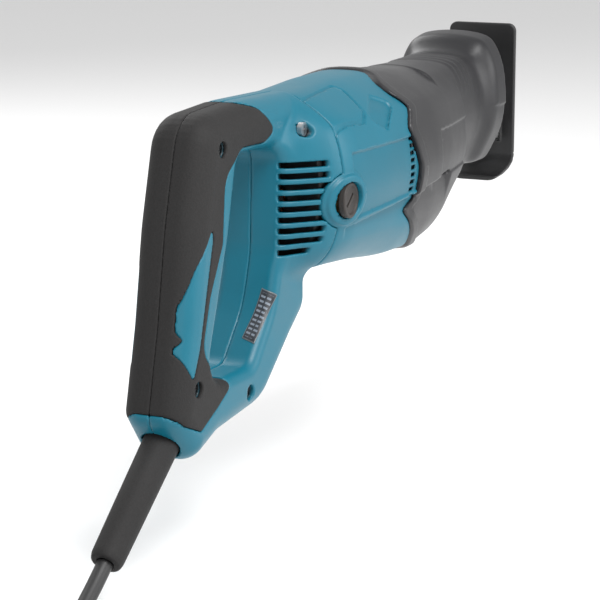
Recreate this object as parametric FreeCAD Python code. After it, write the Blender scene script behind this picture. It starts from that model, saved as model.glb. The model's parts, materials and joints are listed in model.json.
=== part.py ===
import FreeCAD, Part
import math
import os

# A corded reciprocating saw with a D-shaped handle, as an assembly of separate pieces.
# While modelling, x runs along the tool from the heel of the grip towards the blade, y to the
# left and z up from the motor's axis. Every piece is moved by -HOLD when it is written, so the
# origin of the finished part is the centre of the hand's hold on the grip. Millimetres.

V = FreeCAD.Vector
X_AXIS = V(1, 0, 0)
Y_AXIS = V(0, 1, 0)
Z_AXIS = V(0, 0, 1)
ORIGIN = V(0, 0, 0)

# ---------------------------------------------------------------- driving dimensions
HOLD = V(36, 0, 0)  # centre of the hand's hold
FAR = 400.0  # longer than any piece, for cutting tools

# D handle, a clamshell of two halves that meet at y = 0: corners are (x, z, corner radius)
HANDLE_HALF_WIDTH = 17.5
HANDLE_EDGE_RADIUS = 10.0  # along the outside of the D
OPENING_EDGE_RADIUS = 7.0  # along the finger opening
GRIP_WALL = 4.4
RUBBER_THICKNESS = 2.0
HANDLE_OUTLINE = [
    (-2, -90, 11), (18, -115, 11), (44, -106, 30), (94, -101, 30), (128, -74, 20),
    (152, -57, 12), (150, 57, 12), (32, 55, 20), (17.5, 2, 120), (9, -45, 60),
]
FINGER_OPENING = [
    (28, -78, 13), (78, -78, 12), (101, -52, 45), (110, -25, 40), (112, 31, 10),
    (64, 33, 10), (54, -7, 80),
]
RUBBER_OUTLINE = [
    (-30, 80), (72, 80), (76, 57), (88, 53), (100, 45), (104, 40), (92, 35), (67, 35.5),
    (56, 32), (48, 23), (46, 3), (45, -9), (31, -33), (25.5, -49), (22, -62), (34, -69),
    (54, -80), (53, -84), (39, -89.5), (20, -98), (7, -92.5), (-4, -84), (-30, -84),
]
RUBBER_WINDOW = [
    (33, 0), (34.5, -5), (24, -33), (16, -58), (12, -71), (1, -55), (7, -50), (3, -40),
    (21, -14),
]
RUBBER_WINDOW_INNER_Y = 9.0

# Main casing around motor and gears: (x, half width, top z, bottom z) of each cross-section
CASING_WALL = 2.6
CASING_SECTIONS = [
    (110, 19.5, 40, -36), (119, 28, 49, -44), (128, 36, 53, -51), (138, 42.5, 55, -55),
    (150, 45.5, 55.5, -55), (190, 47.5, 57, -55), (226, 48.5, 57.5, -55), (262, 47, 55, -55),
    (290, 44, 53.5, -54), (318, 39.5, 52.5, -29), (333, 37, 52, -22),
]
SEAM_X = 138.0  # the handle halves end here and the motor housing begins
COVER_EDGE = [(226, 80), (218, 20), (221, -15), (245, -40), (292, -60), (292, -80)]
VENT_COUNT = 9
VENT_TOP_Z = 20.6
VENT_PITCH = 5.7
VENT_HEIGHT = 3.0
VENT_X = (109.5, 129.0)

# Nose of the insulation cover: neck sections and bell flange
NECK_SECTIONS = [(316, 33, 52.5, -21), (345, 30, 53, -16), (378, 28.5, 54, -14.5)]
BELL_SECTIONS = [(376, 29, 55, -15), (386, 34.5, 64, -15), (402, 35.5, 66, -14.5)]

# Drive: brushed motor on the x axis, crown gear on a vertical shaft, slider above the motor axis
SHAFT_RADIUS = 4.0
CORE_RADIUS = 22.0
AIR_GAP = 0.6
BRUSH_X = 142.0
BRUSH_CAP_RADIUS = 9.2
COMMUTATOR_RADIUS = 12.5
FAN_RADIUS = 33.0
PINION_TEETH = 8
CROWN_TEETH = 48
CROWN_X = 271.0
CROWN_PITCH_RADIUS = 28.0
TOOTH_WIDTH = 1.2
PINION_CORE_RADIUS = 3.4
PINION_TIP_RADIUS = 5.7
CROWN_TOOTH_TIP_Z = 4.0
CROWN_DISC_Z = (6.5, 12.0)
STROKE = 28.0
ROD_LENGTH = 62.0
ROD_THICKNESS = 6.0
SLIDE_Z = 20.0  # height of the slider's axis above the motor's
SLIDER_RADIUS = 9.0
RUNNING = 0.04  # radial running clearance of shafts and slides

# Shoe at the front, which tilts on a bar that slides in the nose
SHOE_FRONT_X = 452.0
SHOE_THICKNESS = 3.0
SHOE_HALF_WIDTH = 22.5
SHOE_TOP_Z = 66.5
SHOE_BOTTOM_Z = -35.0
SHOE_PIVOT = V(438, 0, -2)
BAR_X = (340.0, 440.0)
BAR_HALF_WIDTH = 9.0
BAR_Z = (-4.0, 0.0)

# Mains lead: guard, cord, put-away coil and plug
LEAD_DOWN_ANGLE = 38.0  # the guard leaves the heel this far below the horizontal, backwards
LEAD_MOUTH = V(9.7, 0, -104.6)  # middle of the heel's end face, on the lead's axis
GUARD_LENGTH = 70.0
GUARD_ROOT_RADIUS = 9.2
GUARD_TIP_RADIUS = 8.2
GUARD_INNER_LENGTH = 12.0
CORD_DIAMETER = 8.0
SURFACE_Z = -180.0  # what the loose cord lies on
COIL_LAYERS = 3
COIL_MIDDLE_RADIUS = 44.0
PLUG_SIZE = V(36, 37, 14)


# ---------------------------------------------------------------- shape helpers
def box(x0, x1, y0, y1, z0, z1):
    """A block between two opposite corners."""
    return Part.makeBox(x1 - x0, y1 - y0, z1 - z0, V(x0, y0, z0))


def cylinder(start, direction, length, radius):
    """A solid rod from start along direction."""
    return Part.makeCylinder(radius, length, start, direction)


def ring(start, direction, length, inner, outer):
    """A tube with a straight bore."""
    return cylinder(start, direction, length, outer).cut(cylinder(start, direction, length, inner))


def joined(shapes):
    """One solid from several that overlap."""
    return shapes[0].fuse(list(shapes[1:])).removeSplitter()


def group(shapes):
    """Separate solids kept in one node."""
    return Part.makeCompound(shapes)


def mirrored(shape):
    """The same piece on the other side of the middle plane."""
    return shape.mirror(ORIGIN, Y_AXIS)


def inset(corners, depth):
    """Moves every side of a counter-clockwise rounded polygon inwards by depth."""
    moved = []
    count = len(corners)
    for i, (u, v, radius) in enumerate(corners):
        before = corners[i - 1]
        after = corners[(i + 1) % count]
        a = V(u - before[0], v - before[1], 0).normalize()
        b = V(after[0] - u, after[1] - v, 0).normalize()
        inward_a = V(-a.y, a.x, 0)
        inward_b = V(-b.y, b.x, 0)
        shift = (inward_a + inward_b) * (depth / (1 + inward_a.dot(inward_b)))
        convex = a.cross(b).z > 0
        new_radius = max(radius - depth if convex else radius + depth, 0.5)
        moved.append((u + shift.x, v + shift.y, new_radius))
    return moved


def rounded_wire(corners, place):
    """A closed wire of lines and tangent arcs. place turns a flat (u, v) into a point in space."""
    stretches = []
    count = len(corners)
    for i, (u, v, radius) in enumerate(corners):
        corner = V(u, v, 0)
        to_before = (V(corners[i - 1][0], corners[i - 1][1], 0) - corner).normalize()
        after = corners[(i + 1) % count]
        to_after = (V(after[0], after[1], 0) - corner).normalize()
        half = to_before.getAngle(to_after) / 2
        reach = radius / math.tan(half)
        middle = (to_before + to_after).normalize() * (radius / math.sin(half) - radius)
        stretches.append((corner + to_before * reach, corner + middle, corner + to_after * reach))
    edges = []
    for i, (start, middle, end) in enumerate(stretches):
        edges.append(Part.Arc(place(start), place(middle), place(end)).toShape())
        following = stretches[(i + 1) % count][0]
        if end.distanceToPoint(following) > 0.001:
            edges.append(Part.LineSegment(place(end), place(following)).toShape())
    return Part.Wire(edges)


def side_place(y):
    """Puts a flat outline on the plane at y, seen from the right."""
    return lambda p: V(p.x, y, p.y)


def section_place(x):
    """Puts a flat outline across the tool at x."""
    return lambda p: V(x, p.x, p.y)


def prism(points, y0, y1):
    """A block with a straight-sided outline in x and z, from y0 to y1."""
    wire = Part.makePolygon([V(x, y0, z) for x, z in points] + [V(points[0][0], y0, points[0][1])])
    return Part.Face(wire).extrude(V(0, y1 - y0, 0))


def coil_spring(start, direction, length, mean_radius, wire_radius, turns):
    """A helical spring from start along direction."""
    height = length - 2 * wire_radius
    helix = Part.makeHelix(height / turns, height, mean_radius)
    profile = Part.Wire(Part.makeCircle(wire_radius, V(mean_radius, 0, 0), Y_AXIS))
    spring = Part.Wire(helix.Edges).makePipeShell([profile], True, True)
    spring.translate(V(0, 0, wire_radius))
    turn = FreeCAD.Rotation(Z_AXIS, direction)
    spring.Placement = FreeCAD.Placement(start, turn).multiply(spring.Placement)
    return spring


# ---------------------------------------------------------------- outer casing
def handle_body(depth):
    """The solid D of the handle, with every surface moved inwards by depth."""
    half = HANDLE_HALF_WIDTH - depth
    outline = rounded_wire(inset(HANDLE_OUTLINE, depth), side_place(-half))
    solid = Part.Face(outline).extrude(V(0, 2 * half, 0))
    solid = solid.makeFillet(HANDLE_EDGE_RADIUS - depth, rims_at(solid, half))
    already_round = solid.Edges
    hole = rounded_wire(inset(FINGER_OPENING, -depth), side_place(-half))
    solid = solid.cut(Part.Face(hole).extrude(V(0, 2 * half, 0)))
    rims = [e for e in rims_at(solid, half) if not any(e.isPartner(old) for old in already_round)]
    return solid.makeFillet(OPENING_EDGE_RADIUS - depth, rims)


def rims_at(solid, half_width):
    """The edges that lie on the two side planes of a solid."""
    return [e for e in solid.Edges if abs(abs(e.CenterOfMass.y) - half_width) < 0.01]


def casing_section(x, half_width, top, bottom, depth):
    """One twelve-sided rounded cross-section of the main casing, with a keel below."""
    right_half = [
        (0.28, bottom, 12), (0.62, bottom * 0.76, 14), (0.85, bottom * 0.48, 14), (1.0, 2, 24),
        (0.91, top * 0.66, 12), (0.42, top, 12),
    ]
    scale = min(1.0, half_width / 40.0)
    right = [(half_width * f, z, r * scale) for f, z, r in right_half]
    left = [(-y, z, r) for y, z, r in reversed(right)]
    return rounded_wire(inset(right + left, depth), section_place(x))


def casing_body(depth, sections=CASING_SECTIONS, rear_depth=0.0):
    """The solid main casing, moved inwards by depth, and shortened at the rear by rear_depth."""
    wires = [casing_section(x + (rear_depth if i == 0 else 0), w, t, b, depth)
             for i, (x, w, t, b) in enumerate(sections)]
    return Part.makeLoft(wires, True, True)


def nose_body(depth, reach=0.0):
    """The solid neck and bell flange of the cover, moved inwards by depth and longer by reach."""
    neck = Part.makeLoft([nose_section(*s, depth) for s in NECK_SECTIONS], True, True)
    bell_sections = list(BELL_SECTIONS)
    if reach:
        x, half_width, top, bottom = BELL_SECTIONS[-1]
        bell_sections.append((x + reach, half_width + 0.5, top + 0.5, bottom - 0.5))
    bell = Part.makeLoft([nose_section(*s, depth) for s in bell_sections], True, True)
    return joined([neck, bell])


def nose_section(x, half_width, top, bottom, depth):
    """A rounded cross-section of the nose: wide shoulders above and a narrower keel below."""
    right = [(half_width * 0.62, bottom, 8), (half_width, 14, 18), (half_width * 0.86, top, 20)]
    left = [(-y, z, r) for y, z, r in reversed(right)]
    return rounded_wire(inset(right + left, depth), section_place(x))


def behind_seam():
    """Everything behind the seam between handle and motor housing, less the brush cap bosses."""
    half_space = box(-100, SEAM_X, -FAR / 2, FAR / 2, -FAR / 2, FAR / 2)
    bosses = cylinder(V(BRUSH_X, -FAR / 2, 0), Y_AXIS, FAR, 15.0)
    return half_space.cut(bosses)


def behind_cover():
    """Everything behind the slanting edge of the black cover."""
    rear = [(-100, 80)] + COVER_EDGE + [(-100, -80)]
    return prism(rear, -FAR / 2, FAR / 2)


SCREW_POSTS = [  # x, z, depth of the head's seat from the middle plane, post half length
    (45.3, 37.6, 11.5, 13.5), (17.8, -76.2, 11.5, 13.5), (75.0, -90.8, 11.5, 13.5),
    (124.0, 38.5, 22.0, 27.0),
]
SCREW_RADIUS = 2.0
SCREW_HEAD_RADIUS = 3.7
GEAR_SCREW_PLACES = [(-28, 30.5), (28, 30.5), (-23, -34), (23, -34)]  # y, z


def handle_tools():
    """Holes common to both halves: screw holes, trigger window, vents and the cord guard's seat."""
    tools = []
    for x, z, seat, _ in SCREW_POSTS:
        tools.append(cylinder(V(x, -30, z), Y_AXIS, 60, SCREW_RADIUS + 0.05))
        tools.append(cylinder(V(x, -60, z), Y_AXIS, 60 - seat, SCREW_HEAD_RADIUS + 0.3))
    tools.append(box(44, 72, -8.2, 8.2, -12, 28))
    for i in range(VENT_COUNT):
        z = VENT_TOP_Z - i * VENT_PITCH
        for y0, y1 in ((-60, -15.5), (15.5, 60)):
            tools.append(box(*VENT_X, y0, y1, z - VENT_HEIGHT / 2, z + VENT_HEIGHT / 2))
    tools.append(guard_solid(0.05))
    return tools


def rubber_layer():
    """The soft layer that lies in the outer two millimetres of the grip."""
    region = prism(RUBBER_OUTLINE, -FAR / 2, FAR / 2)
    for y0, y1 in ((-60, -RUBBER_WINDOW_INNER_Y), (RUBBER_WINDOW_INNER_Y, 60)):
        region = region.cut(prism(RUBBER_WINDOW, y0, y1))
    layer = handle_body(0.0).cut(handle_body(RUBBER_THICKNESS)).common(region)
    return layer


def half(shape, side):
    """The part of a shape on one side of the middle plane: side is -1 for right, 1 for left."""
    y0, y1 = (0, FAR / 2) if side > 0 else (-FAR / 2, 0)
    kept = shape.common(box(-100, 600, y0, y1, -FAR / 2, FAR / 2))
    solids = sorted(kept.Solids, key=lambda s: -s.Volume)
    return solids[0]


def handle_halves(rubber):
    """Right and left clamshell halves, hollow, with posts for the screws."""
    inner_sections = [s for s in CASING_SECTIONS if s[0] <= 150]
    outside = joined([handle_body(0.0), casing_body(0.0, inner_sections)])
    cavity = joined([
        handle_body(GRIP_WALL),
        casing_body(CASING_WALL, inner_sections, CASING_WALL),
    ])
    solid = outside.common(behind_seam())
    shell = solid.cut(cavity)
    posts = [cylinder(V(x, -reach, z), Y_AXIS, 2 * reach, 5.0)
             for x, z, _, reach in SCREW_POSTS]
    posts += [cylinder(V(p.x, -14, p.z), Y_AXIS, 17.9, 3.2) for p in clamp_post_places()]
    shell = joined([shell] + [p.common(solid) for p in posts])
    shell = shell.cut(rubber)
    shell = shell.cut(handle_tools())
    right = half(shell, -1)
    left = half(shell, 1).cut(lock_button_hole())
    left = left.cut([cylinder(V(p.x, 0, p.z), Y_AXIS, 12, 3.5) for p in clamp_post_places()])
    right = right.cut([cylinder(V(p.x, -8, p.z), Y_AXIS, 12, 1.5) for p in clamp_post_places()])
    return right, left


def lock_button_hole():
    return cylinder(V(40, 5, 14), Y_AXIS, 20, 4.4)


def grip_rubber(rubber, side):
    piece = half(rubber, side)
    piece = piece.cut(handle_tools())
    if side > 0:
        piece = piece.cut(lock_button_hole())
    return sorted(piece.Solids, key=lambda s: -s.Volume)[0]


def handle_screws():
    screws = []
    for x, z, seat, reach in SCREW_POSTS:
        head = cylinder(V(x, -seat - 2.6, z), Y_AXIS, 2.6, SCREW_HEAD_RADIUS)
        cross = joined([
            box(x - 2.4, x + 2.4, -seat - 2.6, -seat - 1.2, z - 0.5, z + 0.5),
            box(x - 0.5, x + 0.5, -seat - 2.6, -seat - 1.2, z - 2.4, z + 2.4),
        ])
        shank = cylinder(V(x, -seat, z), Y_AXIS, seat + reach * 0.8, SCREW_RADIUS)
        screws.append(joined([head, shank]).cut(cross))
    return screws


def motor_housing():
    """One-piece barrel with a spigot inside the handle halves and the rear bearing's cup."""
    shell = casing_body(0.0).cut(casing_body(CASING_WALL))
    barrel = shell.common(behind_cover()).cut(behind_seam())
    forward = box(BRUSH_X - 20, 400, -FAR / 2, FAR / 2, -FAR / 2, FAR / 2)
    barrel = barrel.common(forward)
    spigot = casing_body(CASING_WALL + 0.2).cut(casing_body(CASING_WALL + 2.8))
    spigot = spigot.common(box(129.5, 142, -60, 60, -60, 60))
    wall = casing_body(CASING_WALL + 0.2).common(box(129.5, 132, -60, 60, -60, 60))
    cup = cylinder(V(118, 0, 0), X_AXIS, 14, 24)
    pads = joined([cylinder(V(BRUSH_X, -44.8, 0), Y_AXIS, 6.5, 14),
                   cylinder(V(BRUSH_X, 38.3, 0), Y_AXIS, 6.5, 14)])
    link = casing_body(CASING_WALL - 0.4).cut(casing_body(CASING_WALL + 1.5))
    link = link.common(box(SEAM_X + 0.1, 146, -60, 60, -60, 60))
    solid = joined([barrel, link, spigot, wall, cup, pads])
    solid = solid.cut([
        cylinder(V(119.9, 0, 0), X_AXIS, 8.1, 11.0),
        cylinder(V(110, 0, 0), X_AXIS, 12, 6.0),
        cylinder(V(127.9, 0, 0), X_AXIS, 12, 20.0),
        cylinder(V(BRUSH_X, -60, 0), Y_AXIS, 120, BRUSH_CAP_RADIUS + 0.1),
    ])
    seat = ring(V(160, 0, 0), X_AXIS, 42, 38, 60).common(casing_body(CASING_WALL - 0.3))
    ribs = [seat.common(box(160, 202, -60, 60, z - 1.5, z + 1.5)) for z in (-26, 26)]
    collar = ring(V(202.5, 0, 0), X_AXIS, 6.5, 38.3, 60).common(casing_body(CASING_WALL - 0.3))
    bosses = [collar.common(box(202, 210, *sorted((y * 0.7, y * 2)), *sorted((z * 0.7, z * 2))))
              for y, z in GEAR_SCREW_PLACES]
    solid = joined([solid] + ribs + bosses).cut(gear_screw_holes())
    return sorted(solid.Solids, key=lambda s: -s.Volume)[0]


def insulation_cover():
    """Black cover over the gear housing, with the neck and the bell flange in one piece."""
    wide = casing_body(0.0).cut(behind_cover())
    outside = wide.fuse(nose_body(0.0))
    inner_wide = casing_body(CASING_WALL).common(box(200, 330.4, -60, 60, -60, 60))
    shell = outside.cut(inner_wide).cut(nose_body(CASING_WALL, 6.0))
    shell = shell.cut(lock_bar_slot(0.5, 60))
    return sorted(shell.Solids, key=lambda s: -s.Volume)[0]


# ---------------------------------------------------------------- gear housing
def gear_housing():
    """Aluminium case under the cover, with the slider's nose tube and the shoe bar's guide."""
    sections = [(x, w, t, b) for x, w, t, b in CASING_SECTIONS if x >= 226]
    outside = casing_body(CASING_WALL + 0.3, sections)
    outside = outside.common(box(227, 322, -60, 60, -60, 60))
    cavity = casing_body(CASING_WALL + 3.6, sections).common(box(237, 316, -60, 60, -60, 60))
    nose = cylinder(V(316, 0, SLIDE_Z), X_AXIS, 70, 18)
    guide = box(318, 384, -13, 13, -9.5, 6)
    post = cylinder(V(CROWN_X, 0, -50), Z_AXIS, 45, 18)
    solid = joined([outside.cut(cavity), nose, guide, post.common(outside)])
    slot = box(335, 400, -BAR_HALF_WIDTH - 0.3, BAR_HALF_WIDTH + 0.3, BAR_Z[0] - 0.3, BAR_Z[1] + 0.3)
    return solid.cut([
        cylinder(V(226, 0, 0), X_AXIS, 12, 13.0),
        cylinder(V(310, 0, SLIDE_Z), X_AXIS, 80, 13.0),
        cylinder(V(CROWN_X, 0, -14), Z_AXIS, 30, 14.0),
        cylinder(V(CROWN_X, 0, -36), Z_AXIS, 40, 9.0),
        slot,
        lock_bar_slot(0.3, 20),
    ] + gear_screw_holes())


def gear_screw_holes():
    return [cylinder(V(200, y, z), X_AXIS, 40, SCREW_RADIUS) for y, z in GEAR_SCREW_PLACES]


def lock_bar_slot(gap, reach):
    return box(349 - gap, 355 + gap, -reach, reach, -8.5 - gap, BAR_Z[0])


def gear_housing_screws():
    """Four screws through the gear housing's rear wall into the motor housing's bosses."""
    screws = []
    for y, z in GEAR_SCREW_PLACES:
        head = cylinder(V(237, y, z), X_AXIS, 3, 3.6)
        shank = cylinder(V(202, y, z), X_AXIS, 35, SCREW_RADIUS)
        screws.append(joined([head, shank]))
    return group(screws)


# ---------------------------------------------------------------- motor
def armature_shaft():
    return cylinder(V(117, 0, 0), X_AXIS, 120, SHAFT_RADIUS)


def armature_core():
    """Laminated core with twelve winding slots."""
    core = ring(V(158, 0, 0), X_AXIS, 46, SHAFT_RADIUS, CORE_RADIUS)
    slot = box(157, 205, -1.2, 1.2, 15, 30)
    slots = []
    for i in range(12):
        turned = slot.copy()
        turned.rotate(ORIGIN, X_AXIS, i * 30)
        slots.append(turned)
    return core.cut(slots)


def armature_windings():
    rear = ring(V(150, 0, 0), X_AXIS, 8, SHAFT_RADIUS, 18.5)
    front = ring(V(204, 0, 0), X_AXIS, 6, SHAFT_RADIUS, 18.5)
    return group([rear, front])


def commutator():
    """Copper segments, shown as fine grooves along a ring."""
    drum = ring(V(133, 0, 0), X_AXIS, 17, SHAFT_RADIUS, COMMUTATOR_RADIUS)
    groove = box(132, 148, -0.3, 0.3, COMMUTATOR_RADIUS - 0.8, 20)
    grooves = []
    for i in range(24):
        turned = groove.copy()
        turned.rotate(ORIGIN, X_AXIS, i * 15)
        grooves.append(turned)
    return drum.cut(grooves)


def cooling_fan():
    """Radial fan: a disc and fifteen blades."""
    disc = ring(V(221, 0, 0), X_AXIS, 1.6, SHAFT_RADIUS, FAN_RADIUS)
    hub = ring(V(213, 0, 0), X_AXIS, 9, SHAFT_RADIUS, 10)
    blade = box(213, 221.5, -0.7, 0.7, 9, FAN_RADIUS - 0.5)
    blades = []
    for i in range(15):
        turned = blade.copy()
        turned.rotate(ORIGIN, X_AXIS, i * 24)
        blades.append(turned)
    return joined([hub, disc] + blades)


def stator_core():
    """Field laminations: a ring with flats, and two pole arcs around the armature."""
    yoke = ring(V(160, 0, 0), X_AXIS, 42, 31.5, 38)
    bore = CORE_RADIUS + AIR_GAP
    poles = []
    for side in (1, -1):
        arc = ring(V(160, 0, 0), X_AXIS, 42, bore, 26)
        poles.append(arc.common(box(150, 210, min(0, side * 60), max(0, side * 60), -17, 17)))
        y0, y1 = sorted((side * 24.5, side * 33))
        poles.append(box(160, 202, y0, y1, -8, 8))
    return joined([yoke] + poles)


def field_coils():
    """Two wound coils, one around each pole."""
    coils = []
    for side in (1, -1):
        y0, y1 = sorted((side * 26.3, side * 28.8))
        outer = box(154, 208, y0, y1, -12, 12)
        inner = box(159.9, 202.1, y0, y1, -8.1, 8.1)
        coils.append(outer.cut(inner))
    return group(coils)


def fan_baffle():
    return ring(V(209.6, 0, 0), X_AXIS, 1.6, 24, 37)


def bearing(start, direction, width, inner, outer):
    """A ball bearing: a ring with a groove on each face where the shields sit."""
    body = ring(start, direction, width, inner, outer)
    third = (outer - inner) / 3
    grooves = []
    for offset in (0, width - 0.5):
        at = start + direction * offset
        grooves.append(ring(at, direction, 0.5, inner + third, outer - third))
    return body.cut(grooves)


def motor_pinion():
    """Eight straight teeth on the end of the motor shaft, with a gap at the top."""
    core = cylinder(V(237, 0, 0), X_AXIS, 12, PINION_CORE_RADIUS)
    tooth = box(237.5, 248.5, -TOOTH_WIDTH / 2, TOOTH_WIDTH / 2, 2, PINION_TIP_RADIUS)
    teeth = []
    for i in range(PINION_TEETH):
        turned = tooth.copy()
        turned.rotate(ORIGIN, X_AXIS, (i + 0.5) * 360 / PINION_TEETH)
        teeth.append(turned)
    return joined([core] + teeth)


def brush_pieces(side):
    """Holder, carbon brush, its spring and the screw cap on one side of the commutator."""
    along = V(0, side, 0)
    holder = box(BRUSH_X - 4.5, BRUSH_X + 4.5, *sorted((side * 14, side * 40)), -6.5, 6.5)
    holder = holder.cut(box(BRUSH_X - 3.1, BRUSH_X + 3.1, *sorted((side * 13, side * 41)), -5.1, 5.1))
    brush = box(BRUSH_X - 3, BRUSH_X + 3, *sorted((side * 12.8, side * 28)), -5, 5)
    spring = coil_spring(V(BRUSH_X, side * 28.1, 0), along, 11.8, 2.2, 0.35, 6)
    cap = cylinder(V(BRUSH_X, side * 40, 0), along, 5.6, BRUSH_CAP_RADIUS)
    slot = box(BRUSH_X - 7, BRUSH_X + 7, *sorted((side * 43.8, side * 46)), -0.9, 0.9)
    slot.rotate(V(BRUSH_X, 0, 0), Y_AXIS, 35)
    return holder, brush, spring, cap.cut(slot)


# ---------------------------------------------------------------- crank and slider
def crank_gear():
    """Crown gear whose teeth face down onto the pinion; its disc is the crank."""
    disc = cylinder(V(CROWN_X, 0, CROWN_DISC_Z[0]), Z_AXIS, CROWN_DISC_Z[1] - CROWN_DISC_Z[0], 31)
    hub = cylinder(V(CROWN_X, 0, -4.5), Z_AXIS, 12, 9)
    r = CROWN_PITCH_RADIUS
    tooth = box(CROWN_X + r - 2.5, CROWN_X + r + 2.5, -TOOTH_WIDTH / 2, TOOTH_WIDTH / 2,
                CROWN_TOOTH_TIP_Z, CROWN_DISC_Z[0] + 1)
    teeth = []
    for i in range(CROWN_TEETH):
        turned = tooth.copy()
        turned.rotate(V(CROWN_X, 0, 0), Z_AXIS, i * 360 / CROWN_TEETH)
        teeth.append(turned)
    bore = cylinder(V(CROWN_X, 0, -10), Z_AXIS, 20.5, 6)
    return joined([disc, hub] + teeth).cut(bore)


def crank_shaft():
    return cylinder(V(CROWN_X, 0, -34), Z_AXIS, 44.5, 6)


CRANK_PIN_X = CROWN_X - STROKE / 2
WRIST_X = CRANK_PIN_X + ROD_LENGTH


def connecting_rod():
    """Two eyes joined by a bar, level with the slider's axis."""
    low = SLIDE_Z - ROD_THICKNESS / 2
    big = cylinder(V(CRANK_PIN_X, 0, low), Z_AXIS, ROD_THICKNESS, 8.5)
    small = cylinder(V(WRIST_X, 0, low), Z_AXIS, ROD_THICKNESS, 6.3)
    bar = box(CRANK_PIN_X, WRIST_X, -3.8, 3.8, low, low + ROD_THICKNESS)
    holes = [cylinder(V(CRANK_PIN_X, 0, 0), Z_AXIS, 60, 4.0),
             cylinder(V(WRIST_X, 0, 0), Z_AXIS, 60, 3.0 + RUNNING)]
    return joined([big, small, bar]).cut(holes)


def crank_pin():
    """Pin in the rod's big eye. Its lower end stops just above the crank disc."""
    body = cylinder(V(CRANK_PIN_X, 0, CROWN_DISC_Z[1] + 0.4), Z_AXIS, 14.6, 4.0)
    washer = cylinder(V(CRANK_PIN_X, 0, SLIDE_Z + ROD_THICKNESS / 2), Z_AXIS, 1.5, 6.0)
    return joined([body, washer])


def slider():
    """Reciprocating rod: fork for the connecting rod behind, slot for the blade in front."""
    rod = cylinder(V(310, 0, SLIDE_Z), X_AXIS, 98, SLIDER_RADIUS)
    fork = box(300, 326, -12, 12, SLIDE_Z - ROD_THICKNESS / 2 - 0.3, SLIDE_Z + ROD_THICKNESS / 2 + 0.3)
    blade_slot = box(388, 420, -0.9, 0.9, SLIDE_Z - 6.5, SLIDE_Z + 6.5)
    pin_hole = cylinder(V(WRIST_X, 0, 0), Z_AXIS, 60, 3.0)
    clamp_hole = cylinder(V(401, -20, SLIDE_Z), Y_AXIS, 40, 1.6)
    return rod.cut([fork, blade_slot, pin_hole, clamp_hole])


def wrist_pin():
    return cylinder(V(WRIST_X, 0, SLIDE_Z - 8.2), Z_AXIS, 16.4, 3.0)


def slide_bush(x, length):
    return ring(V(x, 0, SLIDE_Z), X_AXIS, length, SLIDER_RADIUS + RUNNING, 13.0)


def front_seal():
    """Lip seal: a ring with a groove in its front face."""
    seal = ring(V(383.5, 0, SLIDE_Z), X_AXIS, 2.5, SLIDER_RADIUS + 0.06, 13.0)
    return seal.cut(ring(V(385, 0, SLIDE_Z), X_AXIS, 1, 10.2, 12.0))


def blade_clamp_sleeve():
    """Turning sleeve that frees the blade, with six finger lobes."""
    sleeve = cylinder(V(392.5, 0, SLIDE_Z), X_AXIS, 12.5, 13.6)
    lobe = cylinder(V(392.5, 0, SLIDE_Z + 12.2), X_AXIS, 12.5, 2.6)
    lobes = []
    for i in range(6):
        turned = lobe.copy()
        turned.rotate(V(0, 0, SLIDE_Z), X_AXIS, i * 60)
        lobes.append(turned)
    bore = cylinder(V(390, 0, SLIDE_Z), X_AXIS, 20, SLIDER_RADIUS + RUNNING)
    return joined([sleeve] + lobes).cut(bore)


def blade_clamp_collar():
    """Snap collar that keeps the sleeve on the slider."""
    collar = ring(V(405.2, 0, SLIDE_Z), X_AXIS, 2.6, SLIDER_RADIUS, 11.5)
    return collar


def blade_clamp_spring():
    return ring(V(387, 0, SLIDE_Z), X_AXIS, 5, SLIDER_RADIUS + 0.3, 11.4)


def blade_clamp_pin():
    return cylinder(V(401, 1.0, SLIDE_Z), Y_AXIS, 7.8, 1.6)


# ---------------------------------------------------------------- shoe
def shoe_plate():
    """Pressed plate with a blade window, two pivot ears and a lower end that curls backwards."""
    back = SHOE_FRONT_X - SHOE_THICKNESS
    curl = [(back, SHOE_TOP_Z), (SHOE_FRONT_X, SHOE_TOP_Z), (SHOE_FRONT_X, -22),
            (447, -31), (438, SHOE_BOTTOM_Z), (437, SHOE_BOTTOM_Z + 2.9), (445.2, -28.8), (back, -21)]
    plate = prism(curl, -SHOE_HALF_WIDTH, SHOE_HALF_WIDTH)
    sides = [e for e in plate.Edges
             if abs(abs(e.CenterOfMass.y) - SHOE_HALF_WIDTH) < 0.01]
    top_corners = [e for e in sides if abs(e.CenterOfMass.z - SHOE_TOP_Z) < 0.01]
    plate = plate.makeFillet(6, top_corners)
    ears = [box(432, back + 1, *sorted((s * 10.6, s * 13.6)), -9, 5) for s in (-1, 1)]
    window = box(440, 460, -5.5, 5.5, 2, 46)
    hole = cylinder(V(SHOE_PIVOT.x, -30, SHOE_PIVOT.z), Y_AXIS, 60, 2.5 + RUNNING)
    return joined([plate] + ears).cut([window, hole])


def shoe_bar():
    """Flat bar that carries the shoe and slides in the nose, with an eye at its front."""
    bar = box(BAR_X[0], BAR_X[1] - 2, -BAR_HALF_WIDTH, BAR_HALF_WIDTH, *BAR_Z)
    eye = cylinder(V(SHOE_PIVOT.x, -BAR_HALF_WIDTH, SHOE_PIVOT.z), Y_AXIS, 2 * BAR_HALF_WIDTH, 4.6)
    notches = [box(x, x + 3, -BAR_HALF_WIDTH - 1, -BAR_HALF_WIDTH + 2, *BAR_Z) for x in (352, 362, 372)]
    hole = cylinder(V(SHOE_PIVOT.x, -30, SHOE_PIVOT.z), Y_AXIS, 60, 2.5)
    return joined([bar, eye]).cut(notches + [hole])


def shoe_pivot_pin():
    pin = cylinder(V(SHOE_PIVOT.x, -14.5, SHOE_PIVOT.z), Y_AXIS, 29, 2.5)
    heads = [cylinder(V(SHOE_PIVOT.x, y, SHOE_PIVOT.z), Y_AXIS, 1.4, 4.0) for y in (-15.4, 14.0)]
    return joined([pin] + heads)


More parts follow.
